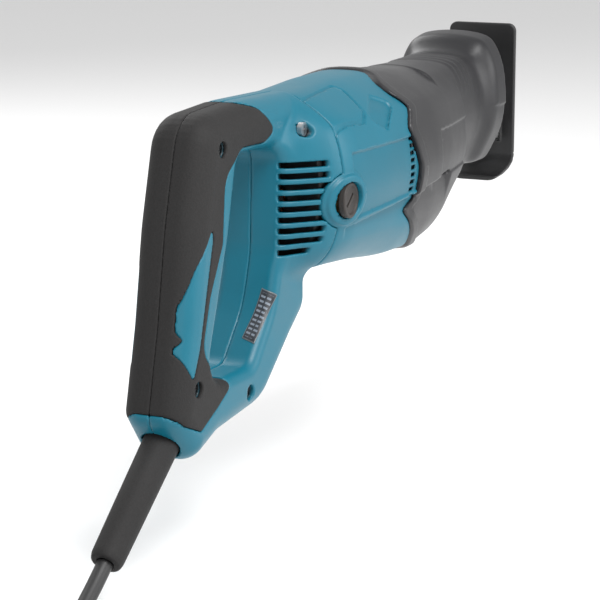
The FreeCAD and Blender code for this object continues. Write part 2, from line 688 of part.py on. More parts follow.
def shoe_lock_button():
    """Cross bar under the shoe bar. It stands out on the left and is pushed to the right."""
    return box(349, 355, -22, 28, -8.5, BAR_Z[0] - 0.4)


# ---------------------------------------------------------------- controls and wiring
def trigger():
    """Finger lever with a hollowed front, and a stem that reaches the switch."""
    profile = [(46, -9, 1.5), (66, -9.5, 3), (72.5, -4, 4), (69, 8, 14), (73, 22, 3), (68, 25.8, 3),
               (52, 25.8, 1.5)]
    body = Part.Face(rounded_wire(profile, side_place(-7.6))).extrude(V(0, 15.2, 0))
    front = [e for e in body.Edges if abs(abs(e.CenterOfMass.y) - 7.6) < 0.01 and e.CenterOfMass.x > 60]
    body = body.makeFillet(2.0, front)
    stem = box(43.8, 47, -4, 4, -4, 12)
    return joined([body, stem])


def trigger_spring():
    return coil_spring(V(37.2, 0, 19), X_AXIS, 10.2, 2.4, 0.4, 4)


def switch_body():
    return prism([(21, -16), (37, -16), (37, 24), (31, 24)], -8.5, 8.5)


def lock_button():
    """Lock-on button beside the trigger, on the left of the grip."""
    stem = cylinder(V(40, 12, 14), Y_AXIS, 7.6, 4.1)
    edge = [e for e in stem.Edges if abs(e.CenterOfMass.y - 19.6) < 0.01]
    return stem.makeFillet(0.8, edge)


def terminal_block():
    block = box(17, 33, -8, 8, -48, -32)
    holes = [cylinder(V(25, y, -40), Z_AXIS, 10, 1.8) for y in (-4, 4)]
    return block.cut(holes)


def suppressor():
    """Interference capacitor, in the bridge above the finger opening."""
    return box(62, 84, -10, 10, 38, 49.5)


def internal_leads():
    """Two insulated leads from the terminal block down towards the cord clamp."""
    leads = []
    for y in (-4, 4):
        start = V(25, y, -48.2)
        end = V(20, y, -70)
        leads.append(cylinder(start, end - start, (end - start).Length, 1.3))
    return group(leads)


# ---------------------------------------------------------------- mains lead
LEAD_DIRECTION = V(-math.cos(math.radians(LEAD_DOWN_ANGLE)), 0, -math.sin(math.radians(LEAD_DOWN_ANGLE)))
LEAD_NORMAL = V(LEAD_DIRECTION.z, 0, -LEAD_DIRECTION.x)


def on_lead(distance):
    """A point on the lead's axis: distance out of the heel, negative inside it."""
    return LEAD_MOUTH + LEAD_DIRECTION * distance


def guard_solid(gap):
    """The guard's outer shape, grown by gap where it sits in the heel."""
    inner = cylinder(on_lead(-GUARD_INNER_LENGTH - gap), LEAD_DIRECTION,
                     GUARD_INNER_LENGTH + 10, GUARD_ROOT_RADIUS - 2.2 + gap)
    flange = cylinder(on_lead(-11.0 - gap), LEAD_DIRECTION, 3 + 2 * gap, GUARD_ROOT_RADIUS + gap)
    root = cylinder(on_lead(-3.0), LEAD_DIRECTION, 6, GUARD_ROOT_RADIUS + gap)
    return joined([inner, flange, root])


def cord_guard():
    """Tapered rubber sleeve, with a flange that the two handle halves hold."""
    taper = Part.makeCone(GUARD_ROOT_RADIUS, GUARD_TIP_RADIUS, GUARD_LENGTH, LEAD_MOUTH, LEAD_DIRECTION)
    return joined([guard_solid(0.0), taper])


def cord_inner_end():
    return cylinder(on_lead(-24), LEAD_DIRECTION, 12, CORD_DIAMETER / 2)


def clamp_post_places():
    """Where the two posts of the cord clamp stand, one each side of the cord."""
    return [on_lead(-16) + LEAD_NORMAL * n for n in (-7.6, 7.6)]


def cord_clamp():
    """Plate that presses the cord into the right half."""
    half_length = LEAD_NORMAL * 10.5
    along = LEAD_DIRECTION * 3.5
    middle = on_lead(-16)
    corners = [middle - half_length - along, middle + half_length - along,
               middle + half_length + along, middle - half_length + along]
    plate = prism([(c.x, c.z) for c in corners], 4.0, 6.2)
    return plate.cut([cylinder(V(p.x, 0, p.z), Y_AXIS, 12, 1.55) for p in clamp_post_places()])


def cord_clamp_screws():
    screws = []
    for p in clamp_post_places():
        head = cylinder(V(p.x, 6.2, p.z), Y_AXIS, 1.8, 2.6)
        shank = cylinder(V(p.x, -7, p.z), Y_AXIS, 13.2, 1.5)
        screws.append(joined([head, shank]))
    return screws


CORD_LEVEL = SURFACE_Z + CORD_DIAMETER / 2
CORD_ROUTE = [
    on_lead(GUARD_LENGTH), on_lead(GUARD_LENGTH + 26), V(-101, -3, CORD_LEVEL), V(-134, -16, CORD_LEVEL),
]
LAST_RUN = (CORD_ROUTE[-1] - CORD_ROUTE[-2]).normalize()
COIL_OUTER_TURN = COIL_MIDDLE_RADIUS + CORD_DIAMETER
COIL_CENTRE = CORD_ROUTE[-1] + V(LAST_RUN.y, -LAST_RUN.x, 0) * COIL_OUTER_TURN
COIL_TOP = SURFACE_Z + COIL_LAYERS * CORD_DIAMETER
PLUG_Z = COIL_TOP + PLUG_SIZE.z / 2
TAIL_OFFSETS = [  # from the coil's centre: x, y, and height of the cord's middle above its top
    (4, -52, -4), (-24, -52, -1), (-46.6, -35.5, 3.5), (-55.3, -8.9, 4),
    (-46.6, 17.7, 5), (-24, 34.2, 6.6), (4, 34.2, 7),
]
TAIL_ROUTE = [V(COIL_CENTRE.x + x, COIL_CENTRE.y + y, COIL_TOP + z) for x, y, z in TAIL_OFFSETS]
PLUG_START = TAIL_ROUTE[-1]
RELIEF_LENGTH = 20.0


def cord_tube(route):
    """A round tube along straight runs joined by tangent arcs, one arc at each inner point."""
    bends = []
    for i in range(1, len(route) - 1):
        back = route[i - 1] - route[i]
        ahead = route[i + 1] - route[i]
        turn = math.pi - back.getAngle(ahead)
        shorter = min(back.Length, ahead.Length)
        radius = 0.45 * shorter / math.tan(turn / 2)
        print("cord bend radius", round(radius, 1))
        reach = 0.45 * shorter
        start = route[i] + back.normalize() * reach
        end = route[i] + ahead.normalize() * reach
        towards = (back + ahead).normalize()
        middle = route[i] + towards * (radius / math.cos(turn / 2) - radius)
        bends.append((start, middle, end))
    edges = []
    here = route[0]
    for start, middle, end in bends:
        edges.append(Part.LineSegment(here, start).toShape())
        edges.append(Part.Arc(start, middle, end).toShape())
        here = end
    edges.append(Part.LineSegment(here, route[-1]).toShape())
    path = Part.Wire(edges)
    section = Part.Wire(Part.makeCircle(CORD_DIAMETER / 2, route[0], route[1] - route[0]))
    tube = path.makePipeShell([section], True, False)
    straight = math.pi * (CORD_DIAMETER / 2) ** 2 * path.Length
    print("cord length", round(path.Length, 1), "volume ratio", round(tube.Volume / straight, 4))
    return tube


def cord_coil():
    """The outer shape of the put-away turns: three side by side and three high."""
    outer = COIL_OUTER_TURN + CORD_DIAMETER / 2
    inner = COIL_MIDDLE_RADIUS - 1.5 * CORD_DIAMETER
    section = [(inner, SURFACE_Z, 3), (outer, SURFACE_Z, 3), (outer, COIL_TOP, 3), (inner, COIL_TOP, 3)]
    face = Part.Face(rounded_wire(section, lambda p: V(COIL_CENTRE.x + p.x, COIL_CENTRE.y, p.y)))
    return face.revolve(COIL_CENTRE, Z_AXIS, 360)


def plug_body():
    """Flat moulded plug with a tapered relief on its cord side."""
    relief = Part.makeCone(4.6, 6.2, RELIEF_LENGTH, PLUG_START, X_AXIS)
    x0 = PLUG_START.x + RELIEF_LENGTH - 0.5
    y = PLUG_START.y
    wires = []
    for x, grow in ((x0, 0.5), (x0 + 10, 0.94), (x0 + PLUG_SIZE.x, 1.0)):
        w = PLUG_SIZE.y / 2 * grow
        h = PLUG_SIZE.z / 2
        corners = [(y - w, PLUG_Z - h, 5), (y + w, PLUG_Z - h, 5),
                   (y + w, PLUG_Z + h, 5), (y - w, PLUG_Z + h, 5)]
        wires.append(rounded_wire(corners, section_place(x)))
    return joined([relief, Part.makeLoft(wires, True, True)])


def plug_pins():
    x = PLUG_START.x + RELIEF_LENGTH - 0.5 + PLUG_SIZE.x
    return group([cylinder(V(x, PLUG_START.y + y, PLUG_Z), X_AXIS, 19, 2.4) for y in (-9.5, 9.5)])


# ---------------------------------------------------------------- assembly
def pieces():
    """Every node's name and shape."""
    rubber = rubber_layer()
    right, left = handle_halves(rubber)
    nodes = {
        "handle_right": right,
        "handle_left": left,
        "grip_rubber_right": grip_rubber(rubber, -1),
        "grip_rubber_left": grip_rubber(rubber, 1),
        "handle_screws": group(handle_screws() + cord_clamp_screws()),
        "motor_housing": motor_housing(),
        "insulation_cover": insulation_cover(),
        "gear_housing": gear_housing(),
        "gear_housing_screws": gear_housing_screws(),
        "armature_shaft": armature_shaft(),
        "armature_core": armature_core(),
        "armature_windings": armature_windings(),
        "commutator": commutator(),
        "cooling_fan": cooling_fan(),
        "motor_pinion": motor_pinion(),
        "stator_core": stator_core(),
        "field_coils": field_coils(),
        "fan_baffle": fan_baffle(),
        "rear_bearing": bearing(V(120, 0, 0), X_AXIS, 7, SHAFT_RADIUS + RUNNING, 11),
        "front_bearing": bearing(V(228, 0, 0), X_AXIS, 8, SHAFT_RADIUS + RUNNING, 13),
        "crank_gear": crank_gear(),
        "crank_shaft": crank_shaft(),
        "crank_upper_bearing": bearing(V(CROWN_X, 0, -13.5), Z_AXIS, 8, 6 + RUNNING, 14),
        "crank_lower_bush": ring(V(CROWN_X, 0, -32), Z_AXIS, 10, 6 + RUNNING, 9),
        "connecting_rod": connecting_rod(),
        "crank_pin": crank_pin(),
        "slider": slider(),
        "wrist_pin": wrist_pin(),
        "rear_slide_bush": slide_bush(338, 14),
        "front_slide_bush": slide_bush(369, 14),
        "front_seal": front_seal(),
        "blade_clamp_sleeve": blade_clamp_sleeve(),
        "blade_clamp_collar": blade_clamp_collar(),
        "blade_clamp_spring": blade_clamp_spring(),
        "blade_clamp_pin": blade_clamp_pin(),
        "shoe_plate": shoe_plate(),
        "shoe_bar": shoe_bar(),
        "shoe_pivot_pin": shoe_pivot_pin(),
        "shoe_lock_button": shoe_lock_button(),
        "trigger": trigger(),
        "trigger_spring": trigger_spring(),
        "switch_body": switch_body(),
        "lock_button": lock_button(),
        "terminal_block": terminal_block(),
        "suppressor": suppressor(),
        "internal_leads": internal_leads(),
        "cord_guard": cord_guard(),
        "cord_inner_end": cord_inner_end(),
        "cord_clamp": cord_clamp(),
        "power_cord": cord_tube(CORD_ROUTE),
        "cord_coil": cord_coil(),
        "cord_tail": cord_tube(TAIL_ROUTE),
        "plug_body": plug_body(),
        "plug_pins": plug_pins(),
    }
    holder, brush, spring, cap = brush_pieces(-1)
    nodes["brush_holders"] = group([holder, mirrored(holder)])
    nodes["brush_caps"] = group([cap, mirrored(cap)])
    for name, side_of in (("right", lambda s: s), ("left", mirrored)):
        nodes["carbon_brush_" + name] = side_of(brush)
        nodes["brush_spring_" + name] = side_of(spring)
    return nodes


def main():
    os.makedirs("parts", exist_ok=True)
    for name, shape in pieces().items():
        placed = shape.copy()
        placed.translate(-HOLD)
        placed.exportStep("parts/" + name + ".step")
        if not shape.isValid() or shape.Volume <= 0:
            print("not valid:", name)


main()
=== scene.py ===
import json
import math

import bpy
import mathutils
import numpy as np
from bpy.props import FloatProperty, FloatVectorProperty, IntProperty, PointerProperty
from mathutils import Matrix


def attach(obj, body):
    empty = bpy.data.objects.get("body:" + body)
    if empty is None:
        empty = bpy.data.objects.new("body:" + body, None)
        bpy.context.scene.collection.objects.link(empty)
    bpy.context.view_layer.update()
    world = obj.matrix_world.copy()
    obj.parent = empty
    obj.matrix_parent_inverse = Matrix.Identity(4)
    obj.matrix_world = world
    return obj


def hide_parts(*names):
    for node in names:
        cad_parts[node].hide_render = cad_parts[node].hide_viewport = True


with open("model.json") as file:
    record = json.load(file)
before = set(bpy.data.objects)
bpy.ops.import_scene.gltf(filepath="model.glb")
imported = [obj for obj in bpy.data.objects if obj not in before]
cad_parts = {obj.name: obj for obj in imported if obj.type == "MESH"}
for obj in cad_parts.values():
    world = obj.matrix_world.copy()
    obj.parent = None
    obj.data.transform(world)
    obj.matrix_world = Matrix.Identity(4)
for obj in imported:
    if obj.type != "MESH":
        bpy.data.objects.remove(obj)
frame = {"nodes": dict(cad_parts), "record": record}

bl_info = {
    "name": "Reciprocating saw",
    "version": (1, 0, 0),
    "blender": (4, 5, 0),
    "location": "View3D > Sidebar > Saw",
    "description": "Visible pieces of a corded D-handle reciprocating saw, round its packed frame",
    "category": "Add Mesh",
}

# Shapes are worked out in millimetres with x along the tool from the heel of the grip, y to the
# left and z up from the motor's axis. A finished mesh is moved back by HOLD and put in metres.
MM = 0.001
HOLD = np.array([36.0, 0.0, 0.0])
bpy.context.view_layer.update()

# Outlines seen from the right: corners are (x, z, corner radius)
HANDLE_OUTLINE = [
    (-2, -90, 11), (18, -115, 11), (44, -106, 30), (94, -101, 30), (128, -74, 20),
    (152, -57, 12), (150, 55.5, 12), (84, 56.6, 80), (32, 53.8, 20), (17.5, 2, 120), (9, -45, 60),
]
FINGER_OPENING = [
    (28, -78, 13), (78, -78, 12), (101, -52, 45), (110, -25, 40), (112, 31, 10),
    (64, 33, 10), (54, -7, 80),
]
RUBBER_OUTLINE = [
    (-30, 80, 1), (72, 80, 1), (76, 57, 4), (90, 53, 10), (104, 40, 3), (92, 35, 8),
    (67, 35.5, 10), (48, 23, 14), (46, 3, 8), (45, -9, 8), (31, -33, 30), (22, -60, 12),
    (34, -69, 14), (55, -81, 3), (39, -89.5, 20), (20, -98, 3), (7, -92.5, 8), (-4, -84, 8),
    (-30, -84, 1),
]
RUBBER_WINDOW = [
    (33.5, 0, 0.8), (34.5, -5, 1.5), (26.5, -33, 30), (20, -56, 20), (13, -71, 0.8),
    (6.7, -55.7, 1), (10.8, -51, 1), (8.8, -42, 1), (20, -17, 30),
]
RUBBER_WINDOW_INNER_Y = (9.0, 15.0)  # right and left

# Main casing: (x, half width, top z, bottom z); nose: the same for the neck and the bell flange
CASING = [
    (110, 19.5, 40, -36), (119, 28, 49, -38), (128, 36, 53, -39), (138, 42.5, 54.5, -40),
    (150, 45.5, 55, -40), (190, 47.5, 57, -43), (226, 48.5, 57.5, -47.5), (262, 47, 55, -49),
    (290, 44, 53.5, -46), (318, 39.5, 52.5, -29), (333, 37, 52, -22), (360, 36, 52, -20),
]
NOSE = [
    (316, 33, 52, -20), (345, 30, 52.5, -15.5), (376, 28.5, 53.5, -14.5), (382, 31, 58, -14.8),
    (387, 34.5, 63.5, -15), (402, 35.5, 65.5, -14.8), (420, 36, 66, -14.8),
]
SHOULDER_PANEL = [  # (x, distance from the middle plane) of the grooved panel on each shoulder
    (136, 17, 1), (133.5, 28, 2), (134.5, 35, 2), (168.4, 38.5, 3), (174.5, 36, 3),
    (181, 20, 3), (178, 15.5, 2),
]
SHOULDER_POCKET = [(173.5, 38.5, 2), (192, 43, 3), (212.6, 37, 3), (198, 28.5, 4)]
SIDE_PANEL_REAR = 146.0
SIDE_PANEL_TOP = 24.0
CASING_REAR = 110.0
CASING_FRONT = 333.0
NOSE_FRONT = 402.0
CASING_WALL = 2.6
SEAM_X = 138.0
BRUSH_X = 142.0
BOSS_RADIUS = 15.0
CAP_RADIUS = 9.4
COVER_EDGE = [  # (z, x) of the black cover's rear edge
    (-70, 320), (-57, 288), (-45, 253), (-31, 235), (-17, 216), (-12, 228), (7, 229),
    (21, 222), (29, 217), (39, 225), (47, 218), (53, 220), (57, 231), (70, 232),
]
SCREW_POSTS = [(45.3, 37.6, 11.5), (17.8, -76.2, 11.5), (75.0, -90.8, 11.5), (124.0, 38.5, 22.0)]
SCREW_HEAD_HOLE = 4.1
SCREW_HOLE = 2.1
TRIGGER_WINDOW = ((44, -8.2, -12), (72, 8.2, 28))
LOCK_BUTTON = (40.0, 14.0)  # x, z of the button beside the trigger, on the left
LOCK_BUTTON_HOLE = 4.4
SLIDE_Z = 20.0  # height of the slider's axis
SLIDE_BORE = 13.1
BAR_SLOT = ((348.5, -60, -9.0), (355.5, 60, -3.6))
VENTS = {"count": 9, "top": 20.6, "pitch": 5.7, "height": 3.1, "x": (107.5, 131.0)}
EXHAUST = {"count": 9, "top": 23.0, "pitch": 4.05, "height": 2.1, "x": (217.5, 223.5)}

SHOE_OUTLINE = [(-22.5, -35.2, 17), (22.5, -35.2, 17), (22.5, 66.5, 5), (-22.5, 66.5, 5)]  # y, z

# Stage: camera in metres, lamps as (name, place, disc size, watts)
CAMERA_EYE = np.array([-0.9639, -0.5126, 0.1951])
CAMERA_TARGET = np.array([0.1354, 0.0, -0.0627])
CAMERA_LENS = 136.0
LAMP_TARGET = (0.1, 0.0, -0.03)
LAMPS = [
    ("key", (-0.5, -0.9, 1.5), 0.8, 34.0), ("fill", (-1.4, -0.7, 0.3), 1.2, 4.0),
    ("side", (0.6, -1.6, 0.5), 1.0, 12.0), ("back", (0.9, 1.2, 1.1), 1.0, 14.0),
]
FLOOR_REACH = 14.0

# Mains lead
LEAD_DOWN = math.radians(38.0)
LEAD_MOUTH = np.array([9.7, 0.0, -104.6])
LEAD_DIRECTION = np.array([-math.cos(LEAD_DOWN), 0.0, -math.sin(LEAD_DOWN)])
GUARD_LENGTH = 70.0
CORD_DIAMETER = 8.0
SURFACE_Z = -180.0
COIL_OUTER_RADIUS = 51.5
COIL_STEP = 8.0  # each turn of the coil that steps inwards or outwards does so by this much


# ---------------------------------------------------------------- properties
class SawSizes(bpy.types.PropertyGroup):
    """Sizes that change the look of the saw's outer pieces."""

    grid: FloatProperty(name="Grid step", description="Cube size used to find the curved skins",
                        default=0.0009, min=0.0005, max=0.004, subtype="DISTANCE", unit="LENGTH")
    grip_half_width: FloatProperty(name="Grip half width", description="Half the grip's width",
                                   default=0.0175, subtype="DISTANCE", unit="LENGTH")
    grip_rounding: FloatProperty(name="Grip rounding", description="Edge radius of the D handle",
                                 default=0.0125, subtype="DISTANCE", unit="LENGTH")
    rubber_thickness: FloatProperty(name="Rubber thickness", description="Depth of the soft grip layer",
                                    default=0.002, subtype="DISTANCE", unit="LENGTH")
    rubber_gap: FloatProperty(name="Rubber gap", description="Gap between rubber and plastic",
                              default=0.0003, subtype="DISTANCE", unit="LENGTH")
    guard_root: FloatProperty(name="Guard root radius", description="Cord guard radius at the heel",
                              default=0.0092, subtype="DISTANCE", unit="LENGTH")
    guard_tip: FloatProperty(name="Guard tip radius", description="Cord guard radius at its tip",
                             default=0.0082, subtype="DISTANCE", unit="LENGTH")
    label_rows: IntProperty(name="Label rows", description="Grey bars on the rating label",
                            default=11, min=2, max=30)


class SawColours(bpy.types.PropertyGroup):
    """Colours of the saw's finishes, as linear red, green and blue."""

    teal: FloatVectorProperty(name="Teal plastic", description="Housing colour", subtype="COLOR",
                              default=(0.0005, 0.106, 0.158), min=0, max=1)
    rubber: FloatVectorProperty(name="Grip rubber", description="Soft grip colour", subtype="COLOR",
                                default=(0.011, 0.0105, 0.0105), min=0, max=1)
    black: FloatVectorProperty(name="Black plastic", description="Front cover colour", subtype="COLOR",
                               default=(0.010, 0.010, 0.0115), min=0, max=1)
    brown: FloatVectorProperty(name="Cap plastic", description="Brush cap and trigger colour",
                               subtype="COLOR", default=(0.016, 0.012, 0.010), min=0, max=1)
    label: FloatVectorProperty(name="Label bars", description="Light bars on the rating label",
                               subtype="COLOR", default=(0.17, 0.20, 0.24), min=0, max=1)


# ---------------------------------------------------------------- fields
# A field is a function of x, y and z that is negative inside a shape and about as large as the
# distance to its surface.
def both(a, b, radius):
    """The space inside a and b, with their shared edge rounded to a radius."""
    return np.minimum(np.maximum(a, b), -radius) + np.hypot(
        np.maximum(a + radius, 0), np.maximum(b + radius, 0))


def either(a, b, radius):
    """The space inside a or b, with a hollow fillet of a radius where they meet."""
    return np.maximum(np.minimum(a, b), radius) - np.hypot(
        np.maximum(radius - a, 0), np.maximum(radius - b, 0))


def blunt(faces, softness):
    """The smooth largest of several fields: softness * log(sum(exp(face / softness)))."""
    faces = np.broadcast_arrays(*faces)
    largest = np.maximum.reduce(faces)
    total = sum(np.exp((face - largest) / softness) for face in faces)
    return largest + softness * np.log(total)


def ramp(value, low, high):
    """0 below low, 1 above high, and a smooth S between them."""
    t = np.clip((value - low) / (high - low), 0, 1)
    return t * t * (3 - 2 * t)


def eased(at, table, column, reach=5.0):
    """A column of a table, read along straight lines and averaged over reach on both sides."""
    xs = [row[0] for row in table]
    ys = [row[column] for row in table]
    offsets = np.linspace(-reach, reach, 7)
    return sum(np.interp(at + offset, xs, ys) for offset in offsets) / len(offsets)


def rounded(corners, arc_points=7):
    """The closed line of an outline whose corners are turned into arcs of their own radius."""
    line = []
    count = len(corners)
    for i, (u, v, radius) in enumerate(corners):
        corner = np.array([u, v], float)
        back = np.array(corners[i - 1][:2], float) - corner
        ahead = np.array(corners[(i + 1) % count][:2], float) - corner
        back /= np.linalg.norm(back)
        ahead /= np.linalg.norm(ahead)
        half = math.acos(np.clip(back @ ahead, -1, 1)) / 2
        centre = corner + (back + ahead) / np.linalg.norm(back + ahead) * radius / math.sin(half)
        start = corner + back * radius / math.tan(half) - centre
        end = corner + ahead * radius / math.tan(half) - centre
        angle = math.atan2(start[1], start[0])
        turn = math.atan2(start[0] * end[1] - start[1] * end[0], start @ end)
        angles = angle + turn * np.linspace(0, 1, arc_points)
        line.append(centre + radius * np.stack([np.cos(angles), np.sin(angles)], 1))
    return np.concatenate(line)


def outline_field(line, u, v):
    """Distance from (u, v) to a closed line, negative inside, by its nearest straight piece."""
    u, v = np.broadcast_arrays(u, v)
    nearest = np.full(u.shape, 1e9)
    sign = np.ones(u.shape)
    for (ax, ay), (bx, by) in zip(line, np.roll(line, 1, axis=0)):
        ex, ey = bx - ax, by - ay
        wx, wy = u - ax, v - ay
        t = np.clip((wx * ex + wy * ey) / (ex * ex + ey * ey + 1e-12), 0, 1)
        nearest = np.minimum(nearest, (wx - ex * t) ** 2 + (wy - ey * t) ** 2)
        above, below, left = v >= ay, v < by, ex * wy > ey * wx
        sign = np.where((above & below & left) | (~above & ~below & ~left), -sign, sign)
    return sign * np.sqrt(nearest)


def block(x, y, z, low, high, radius=0.0):
    """A block between two corners, with rounded edges."""
    parts = []
    for value, a, b in zip((x, y, z), low, high):
        parts.append(np.abs(value - (a + b) / 2) - (b - a) / 2 + radius)
    outside = np.sqrt(sum(np.maximum(p, 0) ** 2 for p in parts))
    return outside + np.minimum(np.maximum(np.maximum(parts[0], parts[1]), parts[2]), 0) - radius


def rod(x, y, z, start, direction, length, radius):
    """A straight round rod from start along direction."""
    px, py, pz = x - start[0], y - start[1], z - start[2]
    along = px * direction[0] + py * direction[1] + pz * direction[2]
    square = px * px + py * py + pz * pz - along * along
    return np.maximum(np.sqrt(np.maximum(square, 0)) - radius, np.abs(along - length / 2) - length / 2)


def section(y, z, corners, top, bottom, softness):
    """A cross-section between a top, a bottom and the straight sides through its corners."""
    side = np.abs(y)
    faces = [z - top, bottom - z]
    for (y0, z0), (y1, z1) in zip(corners, corners[1:]):
        length = np.hypot(y1 - y0, z1 - z0)
        faces.append(((z1 - z0) * (side - y0) - (y1 - y0) * (z - z0)) / length)
    return blunt(faces, softness)


def casing(x, y, z):
    """The main casing's outer skin, endless along x: blunt faces whose width and height change
    along the tool, with a keel below and a waist cut in under the side panels."""
    width = eased(x, CASING, 1)
    top = eased(x, CASING, 2)
    bottom = eased(x, CASING, 3)
    corners = [(0.30 * width, bottom), (0.62 * width, 0.90 * bottom), (0.83 * width, 0.64 * bottom),
               (width, 2 + 0 * x), (0.96 * width, 0.43 * top), (0.83 * width, 0.72 * top),
               (0.50 * width, 0.92 * top), (0.28 * width, top)]
    skin_field = section(y, z, corners, top + 0.5, bottom - 0.5, 1.3)
    lower_edge = -15.5 + 0.075 * (x - 140)
    waist = np.maximum(z - lower_edge, (0.86 + 0.03 * ramp(x, 222, 232)) * width - np.abs(y))
    fade = 10 * (1 - ramp(x, 136, 146)) + 10 * ramp(x, 285, 300)
    return both(skin_field, -waist - fade, 1.2)


def nose(x, y, z):
    """The neck and bell flange, endless along x: wide shoulders above a narrower keel."""
    width = eased(x, NOSE, 1, 3.0)
    top = eased(x, NOSE, 2, 3.0)
    bottom = eased(x, NOSE, 3, 3.0)
    corners = [(0.60 * width, bottom), (width, 14 + 0 * x), (0.94 * width, 0.72 * top),
               (0.66 * width, top)]
    return section(y, z, corners, top + 0.6 - 0.005 * y * y, bottom - 0.6, 2.2)


def handle_outer(x, y, z):
    """The D handle run into the flared rear of the casing, with the finger opening through it."""
    sizes = bpy.context.scene.saw_sizes
    side = np.abs(y) - sizes.grip_half_width / MM
    ring = both(side, outline_field(rounded(HANDLE_OUTLINE), x, z), sizes.grip_rounding / MM)
    flare = both(casing(x, y, z), CASING_REAR - x, 5.0)
    solid = either(ring, flare, 7.0 - 5.5 * ramp(z, 30, 50))
    opening = outline_field(rounded(FINGER_OPENING), x, z)
    return both(solid, -opening, 6.0)


def behind_seam(x, z):
    """Negative behind the seam of handle and motor housing, except round the brush caps."""
    return np.maximum(x - SEAM_X, BOSS_RADIUS - np.hypot(x - BRUSH_X, z))


def behind_cover(x, z):
    """Negative behind the black cover's rear edge."""
    zs = [row[0] for row in COVER_EDGE]
    xs = [row[1] for row in COVER_EDGE]
    edge = sum(np.interp(z + o, zs, xs) for o in (-1.2, 0.0, 1.2)) / 3
    return (x - edge) * 0.85


def rubber_region(x, y, z):
    """Negative where the soft layer lies: inside its outline and outside the teal wedge."""
    region = outline_field(rounded(RUBBER_OUTLINE), x, z)
    wedge = outline_field(rounded(RUBBER_WINDOW, 4), x, z)
    wedge = np.maximum(wedge, np.where(y < 0, *RUBBER_WINDOW_INNER_Y) - np.abs(y))
    return np.maximum(region, -wedge)


def handle_holes(x, y, z):
    """Screw wells, trigger window, vents and the mouth of the lead, all as one field."""
    holes = block(x, y, z, *TRIGGER_WINDOW, 1.0)
    side = np.abs(y)
    for sx, sz, seat in SCREW_POSTS:
        well = np.hypot(x - sx, z - sz)
        holes = np.minimum(holes, np.maximum(well - SCREW_HEAD_HOLE, seat - side))
        holes = np.minimum(holes, well - SCREW_HOLE)
    for i in range(VENTS["count"]):
        level = VENTS["top"] - i * VENTS["pitch"]
        front = VENTS["x"][1] - (5 if i == VENTS["count"] - 1 else 0)
        slot = block(x, side, z, (VENTS["x"][0], 15.0, level - VENTS["height"] / 2),
                     (front, 60.0, level + VENTS["height"] / 2), 0.7)
        holes = np.minimum(holes, slot)
    mouth = LEAD_MOUTH - LEAD_DIRECTION * 14
    return np.minimum(holes, rod(x, y, z, mouth, LEAD_DIRECTION, 30, 10.0))


def handle_shell(x, y, z):
    """A handle half before it is cut at the middle: a wall with the rubber's bed taken out."""
    sizes = bpy.context.scene.saw_sizes
    outer = handle_outer(x, y, z)
    end = behind_seam(x, z) + 0.15
    solid = both(outer, end, 0.7)
    shell = np.maximum(solid, -(outer + CASING_WALL + 1.8))
    bed = np.maximum(rubber_region(x, y, z), -(outer + sizes.rubber_thickness / MM))
    shell = np.maximum(shell, -bed)
    return both(shell, -handle_holes(x, y, z), 0.5)


def handle_half(side):
    """side is -1 for the right half and 1 for the left one."""
    def field(x, y, z):
        shell = handle_shell(x, y, z)
        if side > 0:
            button = np.hypot(x - LOCK_BUTTON[0], z - LOCK_BUTTON[1])
            shell = np.maximum(shell, LOCK_BUTTON_HOLE - button + 0 * y)
        return both(shell, 0.05 - side * y, 0.35)
    return field


def rubber_half(side):
    """The soft layer of one side, a little proud of the plastic round it."""
    def field(x, y, z):
        sizes = bpy.context.scene.saw_sizes
        outer = handle_outer(x, y, z)
        layer = np.maximum(outer - 0.25, -(outer + sizes.rubber_thickness / MM))
        region = rubber_region(x, y, z) + sizes.rubber_gap / MM
        layer = both(layer, region, 0.6)
        holes = handle_holes(x, y, z)
        if side > 0:
            button = np.hypot(x - LOCK_BUTTON[0], z - LOCK_BUTTON[1])
            holes = np.minimum(holes, button - LOCK_BUTTON_HOLE - 0.1 + 0 * y)
        layer = both(layer, -holes, 0.5)
        return both(layer, 0.02 - side * y, 0.12)
    return field


